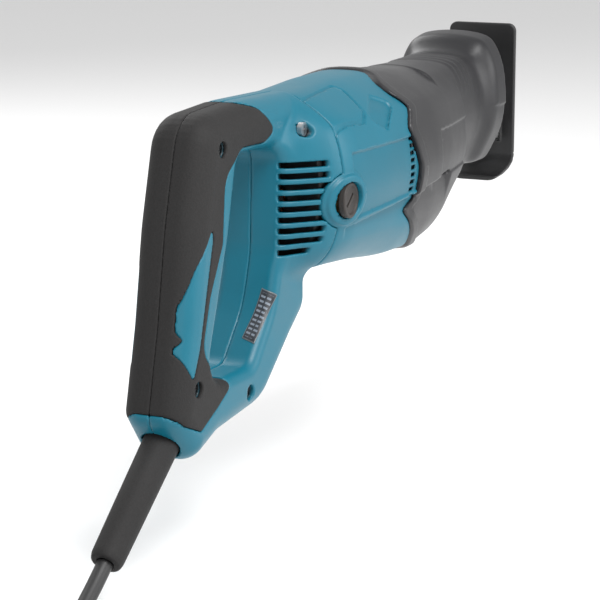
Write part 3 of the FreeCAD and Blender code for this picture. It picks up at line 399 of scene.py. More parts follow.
def motor_housing_field(x, y, z):
    """The teal barrel: recessed side panels, raised cap bosses, exhaust slots, a recess and a
    grooved panel on each shoulder, and a spigot with a rear wall inside the handle halves."""
    skin_field = casing(x, y, z)
    side = np.abs(y)
    cap = np.hypot(x - BRUSH_X, z)
    lower_edge = -13.5 + 0.055 * (x - 140)
    panel = ramp(x, SIDE_PANEL_REAR, SIDE_PANEL_REAR + 1.5)
    panel = panel * (1 - ramp(z, SIDE_PANEL_TOP - 0.6, SIDE_PANEL_TOP + 0.6))
    panel = panel * ramp(z, lower_edge + 1.0, lower_edge + 2.2) * ramp(side, 30, 34)
    panel = panel * ramp(cap, BOSS_RADIUS, BOSS_RADIUS + 1.0)
    outer = skin_field + 1.3 * panel
    upper = ramp(z, 28, 32)
    shield = np.abs(outline_field(rounded(SHOULDER_PANEL), x, side)) + 0 * z
    outer = outer + 0.9 * upper * (1 - ramp(shield, 0.35, 1.0))
    pocket = outline_field(rounded(SHOULDER_POCKET), x, side) + 0 * z
    outer = outer + 1.3 * upper * (1 - ramp(pocket, -0.9, 0.2))
    boss = ramp(side, 30, 34) * (1 - ramp(cap, BOSS_RADIUS - 2.0, BOSS_RADIUS - 1.0))
    outer = outer - 1.7 * boss
    body = both(outer, behind_cover(x, z) + 0.3, 0.7)
    body = both(body, -(behind_seam(x, z)) + 0.15, 0.7)
    body = np.maximum(body, -(skin_field + CASING_WALL + 0.6))
    spigot = np.maximum(np.abs(skin_field + 6.4) - 1.3, np.abs(x - 137) - 7.5)
    rear_wall = np.maximum(skin_field + 5.1, np.abs(x - 130.7) - 1.2)
    body = np.minimum(body, np.maximum(np.minimum(spigot, rear_wall), 11 - np.hypot(y, z)))
    holes = cap + 0 * y - CAP_RADIUS - 0.3
    for i in range(EXHAUST["count"]):
        level = EXHAUST["top"] - i * EXHAUST["pitch"]
        slot = block(x, side, z, (EXHAUST["x"][0], 30.0, level - EXHAUST["height"] / 2),
                     (EXHAUST["x"][1], 60.0, level + EXHAUST["height"] / 2), 0.5)
        holes = np.minimum(holes, slot)
    return both(body, -holes, 0.4)


def cover_field(x, y, z):
    """The black cover: a raised lip along its rear edge, a shoulder, the neck with four grip
    ridges and the bell flange, open at the front."""
    barrel = both(casing(x, y, z), x - CASING_FRONT, 5.0)
    front = nose(x, y, z)
    ridges = 0.7 * (0.5 + 0.5 * np.cos((x - 341) * 2 * math.pi / 7.5))
    ridges = ridges * ramp(x, 336, 338) * (1 - ramp(x, 364, 366)) * ramp(z, 30, 42)
    front = front - ridges
    outer = either(barrel, np.maximum(front, 300 - x), 3.0)
    lip = 1.4 * (1 - ramp(behind_cover(x, z), 7.5, 9.0))
    shoulder = 1.0 * ramp(x, 266.5, 267.8) * (1 - ramp(z, 21, 22)) * ramp(z, -6, -5)
    outer_skin = outer - lip + shoulder * ramp(np.abs(y), 30, 34)
    body = both(outer_skin, 0.3 - behind_cover(x, z), 0.8)
    body = both(body, x - NOSE_FRONT, 1.6)
    hollow = np.minimum(np.maximum(casing(x, y, z) + CASING_WALL, x - CASING_FRONT + 3.0),
                        np.maximum(nose(x, y, z) + CASING_WALL + 1.4, 314 - x))
    body = both(body, -hollow, 0.6)
    return both(body, -block(x, y, z, *BAR_SLOT, 0.4), 0.4)


def gear_case_field(x, y, z):
    """The cast case inside the cover: a thick shell, the slider's nose tube and the bar's guide."""
    inset = casing(x, y, z) + CASING_WALL + 0.5
    shell = np.maximum(np.maximum(inset, -(inset + 3.0)), np.abs(x - 274.5) - 47.5)
    walls = np.maximum(inset, np.minimum(np.abs(x - 232) - 5, np.abs(x - 319) - 3))
    reach = np.hypot(y, z - SLIDE_Z)
    tube = np.maximum(reach - 17.8, np.abs(x - 351) - 34.5)
    guide = block(x, y, z, (318, -12.8, -9.3), (384, 12.8, 6), 1.0)
    solid = np.minimum(np.minimum(shell, walls), np.minimum(tube, guide))
    holes = np.maximum(reach - SLIDE_BORE, 310 - x)
    holes = np.minimum(holes, np.maximum(np.hypot(y, z) - SLIDE_BORE, x - 240))
    holes = np.minimum(holes, block(x, y, z, (335, -9.4, -4.4), (400, 9.4, 0.4)))
    holes = np.minimum(holes, block(x, y, z, (348.6, -30, -8.9), (355.4, 30, -3.9)))
    return both(solid, -holes, 0.3)


def shoe_field(x, y, z):
    """A pressed plate 3 thick: straight above, curled backwards below, with a blade window and
    two pivot ears. Its middle line is a straight run and an arc of radius 16."""
    middle, bend_z, bend_radius = 450.5, -17.0, 16.0
    straight = np.maximum(np.abs(x - middle) - 1.5, bend_z - z)
    reach = np.hypot(x - (middle - bend_radius), z - bend_z)
    curl = np.maximum(np.abs(reach - bend_radius) - 1.5, z - bend_z)
    curl = np.maximum(curl, 437.5 - x)
    plate = np.minimum(straight, curl) + 0 * y
    face = outline_field(rounded(SHOE_OUTLINE), y, z)
    plate = both(plate, face + 0 * x, 0.8)
    ears = block(x, np.abs(y), z, (432, 10.7, -8.8), (450, 13.5, 4.8), 0.6)
    plate = either(plate, ears, 1.5)
    window = block(x, y, z, (440, -5.5, 2), (460, 5.5, 46), 2.0)
    hole = np.hypot(x - 438, z + 2) - 2.6 + 0 * y
    return both(both(plate, -window, 0.4), -hole, 0.3)


# ---------------------------------------------------------------- meshes
def mesh_object(name, points, faces, finish, body):
    """A piece from points in millimetres and faces, with smooth shading, a finish and a body."""
    mesh = bpy.data.meshes.new(name)
    moved = (np.asarray(points, float) - HOLD) * MM
    faces = np.asarray(faces)
    mesh.vertices.add(len(moved))
    mesh.vertices.foreach_set("co", moved.astype(np.float32).ravel())
    mesh.loops.add(faces.size)
    mesh.loops.foreach_set("vertex_index", faces.astype(np.int32).ravel())
    mesh.polygons.add(len(faces))
    mesh.polygons.foreach_set("loop_start", np.arange(len(faces), dtype=np.int32) * faces.shape[1])
    mesh.polygons.foreach_set("use_smooth", np.ones(len(faces), bool))
    mesh.update(calc_edges=True)
    mesh.validate()
    made = bpy.data.objects.new(name, mesh)
    bpy.context.scene.collection.objects.link(made)
    mesh.materials.append(finish)
    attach(made, body)
    return made


def skin(name, field, low, high, finish, body, step=None, keep=1.0, outer=None):
    """The closed surface where a field is zero, found on a grid of cubes: every cube that the
    surface crosses has one vertex, at the mean of the crossings on its edges, which is then moved
    along the field's slope onto the surface. Four cubes round a crossed edge make one face. keep is
    the share of faces left after thinning. outer is the field of the outer skin, from which the
    depth attribute is taken: 0 outside and 1 well inside. The depth attribute is the mask of
    painted shade: the finishes turn those inner walls and slot sides near black."""
    step = step or bpy.context.scene.saw_sizes.grid / MM
    axes = [np.arange(a - 2 * step, b + 3 * step, step) for a, b in zip(low, high)]
    shape = tuple(len(axis) for axis in axes)
    values = field(axes[0][:, None, None], axes[1][None, :, None], axes[2][None, None, :])
    values = np.broadcast_to(values, shape).astype(np.float32)
    inside = values < 0
    count = sum(inside[i:shape[0] - 1 + i, j:shape[1] - 1 + j, k:shape[2] - 1 + k].astype(np.int8)
                for i in (0, 1) for j in (0, 1) for k in (0, 1))
    crossed = (count > 0) & (count < 8)
    cells = np.argwhere(crossed)
    index = np.full(crossed.shape, -1, np.int64)
    index[crossed] = np.arange(len(cells))
    total = np.zeros((len(cells), 3))
    hits = np.zeros(len(cells))
    faces = []
    for axis in range(3):
        second, third = (axis + 1) % 3, (axis + 2) % 3
        unit = np.eye(3, dtype=int)[axis]
        for a in (0, 1):
            for b in (0, 1):
                start = cells.copy()
                start[:, second] += a
                start[:, third] += b
                end = start + unit
                first = values[tuple(start.T)]
                last = values[tuple(end.T)]
                cross = (first < 0) != (last < 0)
                share = np.where(cross, first / np.where(cross, first - last, 1), 0)
                total += np.where(cross[:, None], start + share[:, None] * unit, 0)
                hits += cross
        lower = [slice(None)] * 3
        upper = [slice(None)] * 3
        lower[axis], upper[axis] = slice(0, -1), slice(1, None)
        here, there = inside[tuple(lower)], inside[tuple(upper)]
        for leaving in (True, False):
            edges = np.argwhere((here != there) & (here == leaving))
            keep_edges = (edges[:, second] > 0) & (edges[:, third] > 0)
            keep_edges &= (edges[:, second] < shape[second] - 1) & (edges[:, third] < shape[third] - 1)
            edges = edges[keep_edges]
            ring = []
            for a, b in ((1, 1), (0, 1), (0, 0), (1, 0)):
                corner = edges.copy()
                corner[:, second] -= a
                corner[:, third] -= b
                ring.append(index[tuple(corner.T)])
            quad = np.stack(ring, 1)
            faces.append(quad if leaving else quad[:, ::-1])
    points = np.array([axis[0] for axis in axes]) + step * total / np.maximum(hits, 1)[:, None]
    points = settle(field, points, step)
    made = mesh_object(name, points, np.concatenate(faces), finish, body)
    if keep < 1.0:
        thin = made.modifiers.new("thin", "DECIMATE")
        thin.ratio = keep
        graph = bpy.context.evaluated_depsgraph_get()
        thinned = bpy.data.meshes.new_from_object(made.evaluated_get(graph))
        made.modifiers.clear()
        made.data = thinned
        thinned.name = name
        thinned.polygons.foreach_set("use_smooth", np.ones(len(thinned.polygons), bool))
    if outer:
        count = len(made.data.vertices)
        places = np.empty(3 * count, np.float32)
        made.data.vertices.foreach_get("co", places)
        places = places.reshape(-1, 3) / MM + HOLD
        # depth is the mask of painted shade: the finish paints inner walls and slot sides near black
        # where it is 1
        depth = np.clip((-outer(*places.T) - 1.2) / 1.5, 0, 1)
        layer = made.data.attributes.new("depth", "FLOAT", "POINT")
        layer.data.foreach_set("value", depth.astype(np.float32))
    return made


def slope(field, points, reach):
    """The field's slope at each point, by differences over reach."""
    parts = []
    for unit in np.eye(3):
        ahead = points + unit * reach
        back = points - unit * reach
        parts.append((field(*ahead.T) - field(*back.T)) / (2 * reach))
    return np.stack(parts, 1)


def settle(field, points, step, rounds=3, lift=0.0):
    """Moves points along the slope until the field there is lift."""
    for _ in range(rounds):
        value = field(*points.T) - lift
        direction = slope(field, points, 0.08)
        square = np.maximum((direction ** 2).sum(1), 0.05)
        move = -value[:, None] * direction / square[:, None]
        length = np.linalg.norm(move, axis=1, keepdims=True)
        points = points + move * np.minimum(1, 0.5 * step / np.maximum(length, 1e-9))
    return points


def grid_faces(rows, columns, wrap=True):
    """Four-sided faces between neighbours of a grid whose columns close on themselves."""
    i, j = np.meshgrid(np.arange(rows - 1), np.arange(columns if wrap else columns - 1), indexing="ij")
    after = (j + 1) % columns
    quads = [i * columns + j, i * columns + after, (i + 1) * columns + after, (i + 1) * columns + j]
    return np.stack(quads, -1).reshape(-1, 4)


def turned(name, profile, start, direction, finish, body, sides=64):
    """A profile of (distance along, radius) carried round a line: the points are
    start + along * direction + radius * (cos(a) * p + sin(a) * q). Both ends lie on the line."""
    profile = np.asarray(profile, float)
    direction = np.asarray(direction, float) / np.linalg.norm(direction)
    across = np.cross(direction, (0, 1, 0) if abs(direction[1]) < 0.9 else (1, 0, 0))
    across /= np.linalg.norm(across)
    other = np.cross(direction, across)
    angles = np.linspace(0, 2 * math.pi, sides, endpoint=False)
    around = np.cos(angles)[:, None] * across + np.sin(angles)[:, None] * other
    points = (np.asarray(start, float) + profile[:, 0, None, None] * direction
              + profile[:, 1, None, None] * around[None])
    return mesh_object(name, points.reshape(-1, 3), grid_faces(len(profile), sides)[:, ::-1],
                       finish, body)


def smooth_profile(points, radius=0.4, arc_points=5):
    """An open line of (along, radius) points with its inner corners rounded."""
    points = [np.array(p, float) for p in points]
    line = [points[0][None]]
    for before, corner, after in zip(points, points[1:], points[2:]):
        back, ahead = before - corner, after - corner
        reach = min(radius, 0.45 * np.linalg.norm(back), 0.45 * np.linalg.norm(ahead))
        start = corner + back / np.linalg.norm(back) * reach
        end = corner + ahead / np.linalg.norm(ahead) * reach
        t = np.linspace(0, 1, arc_points)[:, None]
        line.append((1 - t) ** 2 * start + 2 * t * (1 - t) * corner + t ** 2 * end)
    line.append(points[-1][None])
    return np.concatenate(line)


# ---------------------------------------------------------------- finishes
def new_finish(name):
    """An empty node material: returns it, its node tree and the shader."""
    finish = bpy.data.materials.new(name)
    finish.use_nodes = True
    tree = finish.node_tree
    return finish, tree, tree.nodes["Principled BSDF"]


def noise(tree, coordinates, scale, detail=3.0, roughness=0.6):
    """A noise texture on the given coordinates: returns its value."""
    node = tree.nodes.new("ShaderNodeTexNoise")
    node.inputs["Scale"].default_value = scale
    node.inputs["Detail"].default_value = detail
    node.inputs["Roughness"].default_value = roughness
    tree.links.new(coordinates, node.inputs["Vector"])
    return node.outputs["Fac"]


def between(tree, fac, low, high):
    """Maps a 0 to 1 value to a range."""
    node = tree.nodes.new("ShaderNodeMapRange")
    node.inputs["From Min"].default_value = 0.3
    node.inputs["From Max"].default_value = 0.7
    node.inputs["To Min"].default_value = low
    node.inputs["To Max"].default_value = high
    tree.links.new(fac, node.inputs["Value"])
    return node.outputs["Result"]


def mixed(tree, fac, first, second):
    """first where fac is 0 and second where it is 1. Each may be a colour or a node's output."""
    node = tree.nodes.new("ShaderNodeMix")
    node.data_type = "RGBA"
    tree.links.new(fac, node.inputs["Factor"])
    for socket, value in ((node.inputs[6], first), (node.inputs[7], second)):
        if isinstance(value, (tuple, list)):
            socket.default_value = value
        else:
            tree.links.new(value, socket)
    return node.outputs[2]


def shade(colour, factor):
    """A colour made lighter or darker, with its alpha added."""
    return tuple(min(1.0, c * factor) for c in colour) + (1.0,)


def moulded(name, colour, roughness, grain, depth, wear=0.25, fine_scale=1600.0, metallic=0.0,
            specular=0.5):
    """A moulded or worked surface: large soft patches of tone, fine grain in colour and height,
    roughness that varies with it, edges worn a little lighter, and painted shade: near black where
    the mesh's depth attribute says that it is inside a shell."""
    finish, tree, shader = new_finish(name)
    place = tree.nodes.new("ShaderNodeTexCoord").outputs["Object"]
    patches = noise(tree, place, 22.0, 4.0)
    fine = noise(tree, place, fine_scale, 2.0, 0.7)
    tone = mixed(tree, between(tree, patches, 0.0, 1.0), shade(colour, 0.93), shade(colour, 1.07))
    tone = mixed(tree, between(tree, fine, 0.0, 0.5), tone, shade(colour, 1.0 + grain))
    geometry = tree.nodes.new("ShaderNodeNewGeometry")
    edge = tree.nodes.new("ShaderNodeMapRange")
    edge.inputs["From Min"].default_value = 0.52
    edge.inputs["From Max"].default_value = 0.62
    edge.inputs["To Max"].default_value = wear
    tree.links.new(geometry.outputs["Pointiness"], edge.inputs["Value"])
    light = tuple(c * 1.3 + 0.012 for c in colour)
    tone = mixed(tree, edge.outputs["Result"], tone, shade(light, 1.3))
    # painted shade: inner walls and slot sides turned near black by the depth attribute, standing in for
    # the shade inside the shell
    inside = tree.nodes.new("ShaderNodeAttribute")
    inside.attribute_name = "depth"
    tone = mixed(tree, inside.outputs["Fac"], tone, (0.004, 0.005, 0.006, 1))
    tree.links.new(tone, shader.inputs["Base Color"])
    tree.links.new(between(tree, patches, roughness - 0.05, roughness + 0.05), shader.inputs["Roughness"])
    bump = tree.nodes.new("ShaderNodeBump")
    bump.inputs["Strength"].default_value = depth
    bump.inputs["Distance"].default_value = 0.00025
    tree.links.new(fine, bump.inputs["Height"])
    tree.links.new(bump.outputs["Normal"], shader.inputs["Normal"])
    shader.inputs["Metallic"].default_value = metallic
    shader.inputs["Specular IOR Level"].default_value = specular
    return finish


def label_finish(name, colour, rows):
    """A dark rating label with two columns of light bars and a thin frame, on the piece's UVs."""
    finish, tree, shader = new_finish(name)
    uv = tree.nodes.new("ShaderNodeUVMap").outputs["UV"]
    split = tree.nodes.new("ShaderNodeSeparateXYZ")
    tree.links.new(uv, split.inputs["Vector"])

    def calc(kind, first, second=None, third=None):
        node = tree.nodes.new("ShaderNodeMath")
        node.operation = kind
        for socket, value in zip(node.inputs, (first, second, third)):
            if isinstance(value, (int, float)):
                socket.default_value = value
            elif value is not None:
                tree.links.new(value, socket)
        return node.outputs["Value"]

    def band(value, low, high):
        return calc("MULTIPLY", calc("GREATER_THAN", value, low), calc("LESS_THAN", value, high))

    u, v = split.outputs["X"], split.outputs["Y"]
    row = calc("FRACT", calc("MULTIPLY", v, float(rows)))
    bars = band(row, 0.30, 0.74)
    length = calc("FRACT", calc("MULTIPLY", calc("FLOOR", calc("MULTIPLY", v, float(rows))), 0.37))
    left = band(u, 0.12, 0.44)
    right_end = calc("ADD", calc("MULTIPLY", length, 0.14), 0.74)
    right = calc("MULTIPLY", calc("GREATER_THAN", u, 0.54), calc("LESS_THAN", u, right_end))
    inner = band(v, 0.06, 0.94)
    mask = calc("MULTIPLY", calc("MULTIPLY", calc("MAXIMUM", left, right), bars), inner)
    outside = calc("SUBTRACT", 1.0, calc("MULTIPLY", band(u, 0.045, 0.955), band(v, 0.02, 0.98)))
    tone = mixed(tree, mask, (0.012, 0.014, 0.018, 1), shade(colour, 1.0))
    tone = mixed(tree, outside, tone, (0.10, 0.12, 0.13, 1))
    place = tree.nodes.new("ShaderNodeTexCoord").outputs["Object"]
    tone = mixed(tree, between(tree, noise(tree, place, 300.0), 0.0, 0.25), tone, shade(colour, 0.5))
    tree.links.new(tone, shader.inputs["Base Color"])
    tree.links.new(between(tree, noise(tree, place, 90.0), 0.3, 0.42), shader.inputs["Roughness"])
    return finish


FINISHES = {}


def finishes():
    """Every finish by the record's slot name, made once."""
    if not FINISHES:
        colours = bpy.context.scene.saw_colours
        FINISHES.update({
            "teal_plastic": moulded("teal plastic", tuple(colours.teal), 0.42, 0.10, 0.10, 0.22,
                                    specular=0.38),
            "grip_rubber": moulded("grip rubber", tuple(colours.rubber), 0.72, 0.9, 0.55, 0.10,
                                   fine_scale=1100.0, specular=0.30),
            "black_plastic": moulded("black plastic", tuple(colours.black), 0.40, 0.5, 0.25, 0.3,
                                     specular=0.42),
            "aluminium": moulded("cast aluminium", (0.42, 0.43, 0.45), 0.42, 0.12, 0.35, 0.2,
                                 fine_scale=700.0, metallic=1.0),
            "machined_steel": moulded("machined steel", (0.50, 0.50, 0.51), 0.28, 0.06, 0.10, 0.1,
                                      fine_scale=2200.0, metallic=1.0),
            "black_steel": moulded("blackened steel", (0.008, 0.008, 0.0085), 0.42, 0.3, 0.15, 0.3),
            "bronze": moulded("bronze", (0.45, 0.28, 0.12), 0.35, 0.10, 0.15, 0.1, metallic=1.0),
            "copper": moulded("copper wire", (0.60, 0.22, 0.09), 0.33, 0.15, 0.4, 0.1,
                              fine_scale=900.0, metallic=1.0),
            "cord_jacket": moulded("cord jacket", (0.009, 0.009, 0.0095), 0.5, 0.4, 0.2, 0.05),
            "cap_plastic": moulded("cap plastic", tuple(colours.brown), 0.55, 0.4, 0.3, 0.3),
            "spring_steel": moulded("spring steel", (0.36, 0.36, 0.37), 0.30, 0.08, 0.1, 0.1,
                                    metallic=1.0),
        })
    return FINISHES


# ---------------------------------------------------------------- operators
class SAW_OT_stage(bpy.types.Operator):
    """Camera, pale floor and soft studio lights"""

    bl_idname = "saw.stage"
    bl_label = "Stage and camera"

    def execute(self, context):
        camera = bpy.data.objects.new("camera", bpy.data.cameras.new("camera"))
        context.scene.collection.objects.link(camera)
        camera.data.sensor_width = 36.0
        camera.data.lens = CAMERA_LENS
        camera.data.clip_start = 0.05
        forward = CAMERA_TARGET - CAMERA_EYE
        forward /= np.linalg.norm(forward)
        right = np.cross(forward, (0, 0, 1))
        right /= np.linalg.norm(right)
        up = np.cross(right, forward)
        turn = np.eye(4)
        turn[:3] = np.stack([right, up, -forward, CAMERA_EYE], 1)
        camera.matrix_world = mathutils.Matrix(turn.tolist())
        context.scene.camera = camera

        floor_mesh = bpy.data.meshes.new("floor")
        corners = [(x * FLOOR_REACH, y * FLOOR_REACH, SURFACE_Z * MM)
                   for x, y in ((-1, -1), (1, -1), (1, 1), (-1, 1))]
        floor_mesh.from_pydata(corners, [], [(0, 1, 2, 3)])
        floor = bpy.data.objects.new("floor", floor_mesh)
        context.scene.collection.objects.link(floor)
        finish, _, shader = new_finish("pale floor")
        shader.inputs["Base Color"].default_value = (0.86, 0.86, 0.86, 1)
        shader.inputs["Roughness"].default_value = 0.8
        floor_mesh.materials.append(finish)

        context.scene.view_settings.view_transform = "Standard"
        for name, place, size, power in LAMPS:
            data = bpy.data.lights.new(name, "AREA")
            data.shape = "DISK"
            data.size = size
            data.energy = power
            light = bpy.data.objects.new(name, data)
            context.scene.collection.objects.link(light)
            light.location = place
            way = mathutils.Vector(LAMP_TARGET) - mathutils.Vector(place)
            light.rotation_euler = way.to_track_quat("-Z", "Y").to_euler()
        world = bpy.data.worlds.new("studio")
        context.scene.world = world
        world.use_nodes = True
        world.node_tree.nodes["Background"].inputs["Color"].default_value = (1, 1, 1, 1)
        world.node_tree.nodes["Background"].inputs["Strength"].default_value = 0.70
        return {"FINISHED"}


def on_lead(distance):
    """The point on the lead's axis at a distance out of the heel."""
    return LEAD_MOUTH + LEAD_DIRECTION * distance


def stepped(at, value, moves):
    """A value changed by each move's amount over its own stretch, along a smooth S."""
    for start, end, change in moves:
        value = value + change * ramp(at, start, end)
    return value


def cord_route():
    """The cord's points: out of the guard, down to the surface, nearly eight turns of a neat coil
    that step inwards, up, outwards, up and inwards again, then over the top to the plug."""
    lying = SURFACE_Z + CORD_DIAMETER / 2
    lead_in = [on_lead(GUARD_LENGTH), on_lead(GUARD_LENGTH + 26), np.array([-101.0, -3.0, lying]),
               np.array([-134.0, -16.0, lying])]
    last = lead_in[3] - lead_in[2]
    last /= np.linalg.norm(last)
    centre = lead_in[3] + np.array([last[1], -last[0], 0]) * COIL_OUTER_RADIUS
    first_angle = math.atan2(lead_in[3][1] - centre[1], lead_in[3][0] - centre[0])
    turns = np.arange(1, 126) / 16
    radius = stepped(turns, COIL_OUTER_RADIUS, [
        (0.7, 1.0, -COIL_STEP), (1.7, 2.0, -COIL_STEP), (3.2, 3.5, COIL_STEP),
        (4.2, 4.5, COIL_STEP), (5.9, 6.2, -COIL_STEP), (6.9, 7.2, -COIL_STEP)])
    layer = stepped(turns, 0, [(2.5, 2.8, 1), (5.05, 5.35, 1), (7.5, 8.0, 0.75)])
    angle = first_angle - 2 * math.pi * turns
    coil = np.stack([centre[0] + radius * np.cos(angle), centre[1] + radius * np.sin(angle),
                     lying + layer * CORD_DIAMETER], 1)
    top = SURFACE_Z + 3 * CORD_DIAMETER
    tail = [(33.6, -13.5, 1.5), (28, -27, 3), (17, -39.5, 4.2), (0, -48.5, 4.8), (-21, -49, 4.8),
            (-39, -40.5, 4.6), (-51, -24, 4.4), (-54, -4, 4.4), (-48, 16, 4.8), (-34, 30, 5.6),
            (-16, 35.5, 6.4), (3.8, 34.7, 7.0)]
    tail = [np.array([centre[0] + x, centre[1] + y, top + z]) for x, y, z in tail]
    return np.array(lead_in + list(coil) + tail)


class SAW_OT_cord(bpy.types.Operator):
    """Mains lead as one smooth spline with its coil, running to the plug"""

    bl_idname = "saw.cord"
    bl_label = "Mains lead"

    def execute(self, context):
        points = (cord_route() - HOLD) * MM
        data = bpy.data.curves.new("mains_lead", "CURVE")
        data.dimensions = "3D"
        spline = data.splines.new("NURBS")
        spline.points.add(len(points) - 1)
        spline.points.foreach_set("co", np.hstack([points, np.ones((len(points), 1))]).ravel())
        spline.order_u = 3
        spline.use_endpoint_u = True
        spline.resolution_u = 4
        data.bevel_depth = CORD_DIAMETER / 2 * MM
        data.bevel_resolution = 5
        data.use_fill_caps = True
        cord = bpy.data.objects.new("mains_lead", data)
        context.scene.collection.objects.link(cord)
        data.materials.append(finishes()["cord_jacket"])
        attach(cord, "housing")
        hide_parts("power_cord", "cord_coil", "cord_tail")
        return {"FINISHED"}


class SAW_OT_guard(bpy.types.Operator):
    """Tapered cord guard with a rolled tip"""

    bl_idname = "saw.guard"
    bl_label = "Cord guard"

    def execute(self, context):
        sizes = context.scene.saw_sizes
        root, tip = sizes.guard_root / MM, sizes.guard_tip / MM
        bore = CORD_DIAMETER / 2 + 0.1
        profile = smooth_profile([
            (-11, bore), (-11, root), (-8, root), (-8, root - 2), (-3, root - 2), (-3, root),
            (GUARD_LENGTH * 0.5, (root + tip) / 2), (GUARD_LENGTH - 3, tip), (GUARD_LENGTH, tip - 0.9),
            (GUARD_LENGTH, bore), (GUARD_LENGTH - 4, bore), (-11, bore)], 1.2)
        made = turned("cord_guard_sleeve", profile, LEAD_MOUTH, LEAD_DIRECTION,
                      finishes()["grip_rubber"], "housing")
        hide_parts("cord_guard")
        return {"FINISHED"}


class SAW_OT_handle(bpy.types.Operator):
    """The two teal clamshell halves of the D handle"""

    bl_idname = "saw.handle"
    bl_label = "Handle halves"

    def execute(self, context):
        for side, name in ((-1, "handle_right"), (1, "handle_left")):
            low = (-6, -46 if side < 0 else 0, -112)
            high = (142, 0 if side < 0 else 46, 60)
            # outer gives the depth attribute, the mask of painted shade inside the shell
            made = skin(name + "_shell", handle_half(side), low, high,
                        finishes()["teal_plastic"], "housing", keep=0.75,
                        outer=handle_outer)
            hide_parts(name)
        return {"FINISHED"}


class SAW_OT_rubber(bpy.types.Operator):
    """The soft layer on each side of the grip"""

    bl_idname = "saw.rubber"
    bl_label = "Grip rubber"

    def execute(self, context):
        for side, name in ((-1, "grip_rubber_right"), (1, "grip_rubber_left")):
            low = (-6, -20 if side < 0 else 0, -104)
            high = (108, 0 if side < 0 else 20, 60)
            made = skin(name + "_skin", rubber_half(side), low, high,
                        finishes()["grip_rubber"], "housing", step=0.8, keep=0.8)
            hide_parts(name)
        return {"FINISHED"}


class SAW_OT_motor_housing(bpy.types.Operator):
    """The teal barrel round the motor"""

    bl_idname = "saw.motor_housing"
    bl_label = "Motor housing"

    def execute(self, context):
        # outer gives the depth attribute, the mask of painted shade inside the shell
        made = skin("motor_barrel", motor_housing_field, (126, -51, -58), (292, 51, 60),
                    finishes()["teal_plastic"], "housing", keep=0.8, outer=casing)
        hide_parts("motor_housing")
        return {"FINISHED"}


class SAW_OT_cover(bpy.types.Operator):
    """The black cover with neck and bell flange, and the cast gear case inside it"""

    bl_idname = "saw.cover"
    bl_label = "Front cover"

    def execute(self, context):
        made = skin("front_cover", cover_field, (212, -52, -60), (404, 52, 69),
                    finishes()["black_plastic"], "housing", step=1.0, keep=0.8)
        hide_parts("insulation_cover")
        case = skin("gear_case", gear_case_field, (226, -46, -50), (387, 46, 58),
                    finishes()["aluminium"], "housing", step=1.1, keep=0.7)
        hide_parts("gear_housing")
        return {"FINISHED"}


class SAW_OT_shoe(bpy.types.Operator):
    """The pressed shoe plate"""

    bl_idname = "saw.shoe"
    bl_label = "Shoe plate"

    def execute(self, context):
        made = skin("shoe_pressing", shoe_field, (430, -23, -38), (454, 23, 68),
                    finishes()["black_steel"], "shoe", step=0.7)
        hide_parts("shoe_plate")
        return {"FINISHED"}


class SAW_OT_label(bpy.types.Operator):
    """Generic rating label on the right of the lower link"""

    bl_idname = "saw.label"
    bl_label = "Rating label"

    def execute(self, context):
        corners = np.array([(88.5, -5.8, -66.2), (87, -13.4, -68.3), (104.2, -9.7, -42.5),
                            (106.8, -17, -46.1)])
        rows, columns = 40, 20
        v, u = np.meshgrid(np.linspace(0, 1, rows), np.linspace(0, 1, columns), indexing="ij")
        weights = np.stack([(1 - u) * (1 - v), u * (1 - v), (1 - u) * v, u * v], -1)
        start = (weights @ corners).reshape(-1, 3)
        points = settle(handle_outer, start, 6.0, 12, 0.35)
        made = mesh_object("rating_label", points, grid_faces(rows, columns, False),
                           label_finish("rating label", tuple(context.scene.saw_colours.label),
                                        context.scene.saw_sizes.label_rows), "housing")
        layer = made.data.uv_layers.new(name="flat")
        loops = np.empty(len(made.data.loops), np.int32)
        made.data.loops.foreach_get("vertex_index", loops)
        flat = np.stack([u.ravel(), v.ravel()], 1)[loops]
        layer.data.foreach_set("uv", flat.astype(np.float32).ravel())
        thick = made.modifiers.new("thickness", "SOLIDIFY")
        thick.thickness = 0.0006
        return {"FINISHED"}


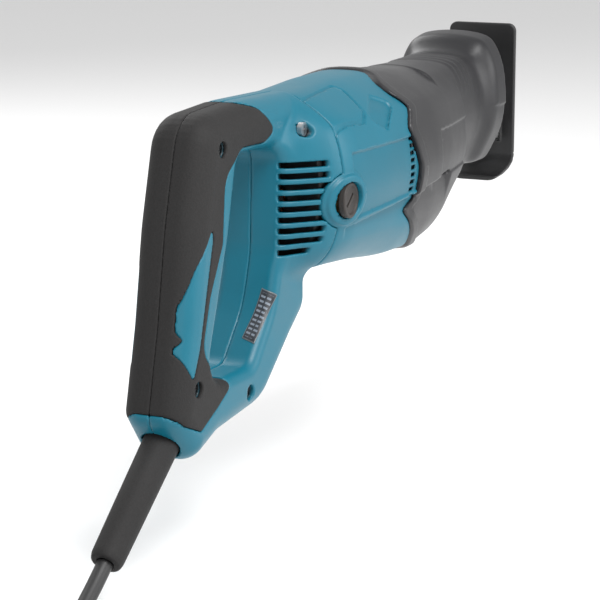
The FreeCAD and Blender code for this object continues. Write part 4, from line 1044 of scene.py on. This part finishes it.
class SAW_OT_brush_caps(bpy.types.Operator):
    """Slotted screw caps over the carbon brushes"""

    bl_idname = "saw.brush_caps"
    bl_label = "Brush caps"

    def execute(self, context):
        for side, name in ((-1, "right"), (1, "left")):
            def cap_field(x, y, z, side=side):
                """A disc with a dished face, a rim step and a slanting screwdriver slot."""
                away = side * y
                r = np.hypot(x - BRUSH_X, z)
                face = away - 43.6 + 0.8 * (1 - ramp(r, 6.8, 7.6))
                disc = both(np.maximum(face, 39.8 - away), r - CAP_RADIUS, 0.8)
                turn = math.radians(38)
                across = (x - BRUSH_X) * math.sin(turn) - z * math.cos(turn)
                along = (x - BRUSH_X) * math.cos(turn) + z * math.sin(turn)
                slot = np.maximum(np.maximum(np.abs(across) - 0.9, np.abs(along) - 5.0), 41.4 - away)
                return both(disc, -slot, 0.3)
            low = (BRUSH_X - 10.5, -47 if side < 0 else 38.5, -10.5)
            high = (BRUSH_X + 10.5, -38.5 if side < 0 else 47, 10.5)
            made = skin("brush_cap_" + name, cap_field, low, high, finishes()["cap_plastic"],
                        "housing", step=0.35)
            if side < 0:
                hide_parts("brush_caps")
        return {"FINISHED"}


NODE_FINISH = {
    "trigger": "cap_plastic", "lock_button": "cap_plastic", "blade_clamp_spring": "spring_steel",
    "trigger_spring": "spring_steel", "brush_spring_right": "spring_steel",
    "brush_spring_left": "spring_steel",
}


class SAW_OT_frame_finishes(bpy.types.Operator):
    """Finishes for the frame's own pieces, by their material slots"""

    bl_idname = "saw.frame_finishes"
    bl_label = "Frame finishes"

    def execute(self, context):
        slots = {part["node"]: part["material_slot"] for part in frame["record"]["subparts"]}
        for name, node in frame["nodes"].items():
            finish = finishes()[NODE_FINISH.get(name, slots[name])]
            node.data.materials.clear()
            node.data.materials.append(finish)
        return {"FINISHED"}


OPERATORS = (
    SAW_OT_stage, SAW_OT_cord, SAW_OT_guard, SAW_OT_handle, SAW_OT_rubber, SAW_OT_motor_housing,
    SAW_OT_cover, SAW_OT_shoe, SAW_OT_label, SAW_OT_brush_caps, SAW_OT_frame_finishes,
)


class SAW_PT_panel(bpy.types.Panel):
    """Sizes, colours and steps of the saw"""

    bl_label = "Reciprocating saw"
    bl_space_type = "VIEW_3D"
    bl_region_type = "UI"
    bl_category = "Saw"

    def draw(self, context):
        for group in (context.scene.saw_sizes, context.scene.saw_colours):
            for name in group.__annotations__:
                self.layout.prop(group, name)
        for operator in OPERATORS:
            self.layout.operator(operator.bl_idname)


CLASSES = (SawSizes, SawColours) + OPERATORS + (SAW_PT_panel,)


def register():
    for each in CLASSES:
        bpy.utils.register_class(each)
    bpy.types.Scene.saw_sizes = PointerProperty(type=SawSizes)
    bpy.types.Scene.saw_colours = PointerProperty(type=SawColours)


def unregister():
    del bpy.types.Scene.saw_colours
    del bpy.types.Scene.saw_sizes
    for each in reversed(CLASSES):
        bpy.utils.unregister_class(each)


def main():
    register()
    for operator in OPERATORS:
        group, name = operator.bl_idname.split(".")
        getattr(getattr(bpy.ops, group), name)()


if __name__ == "__main__":
    main()
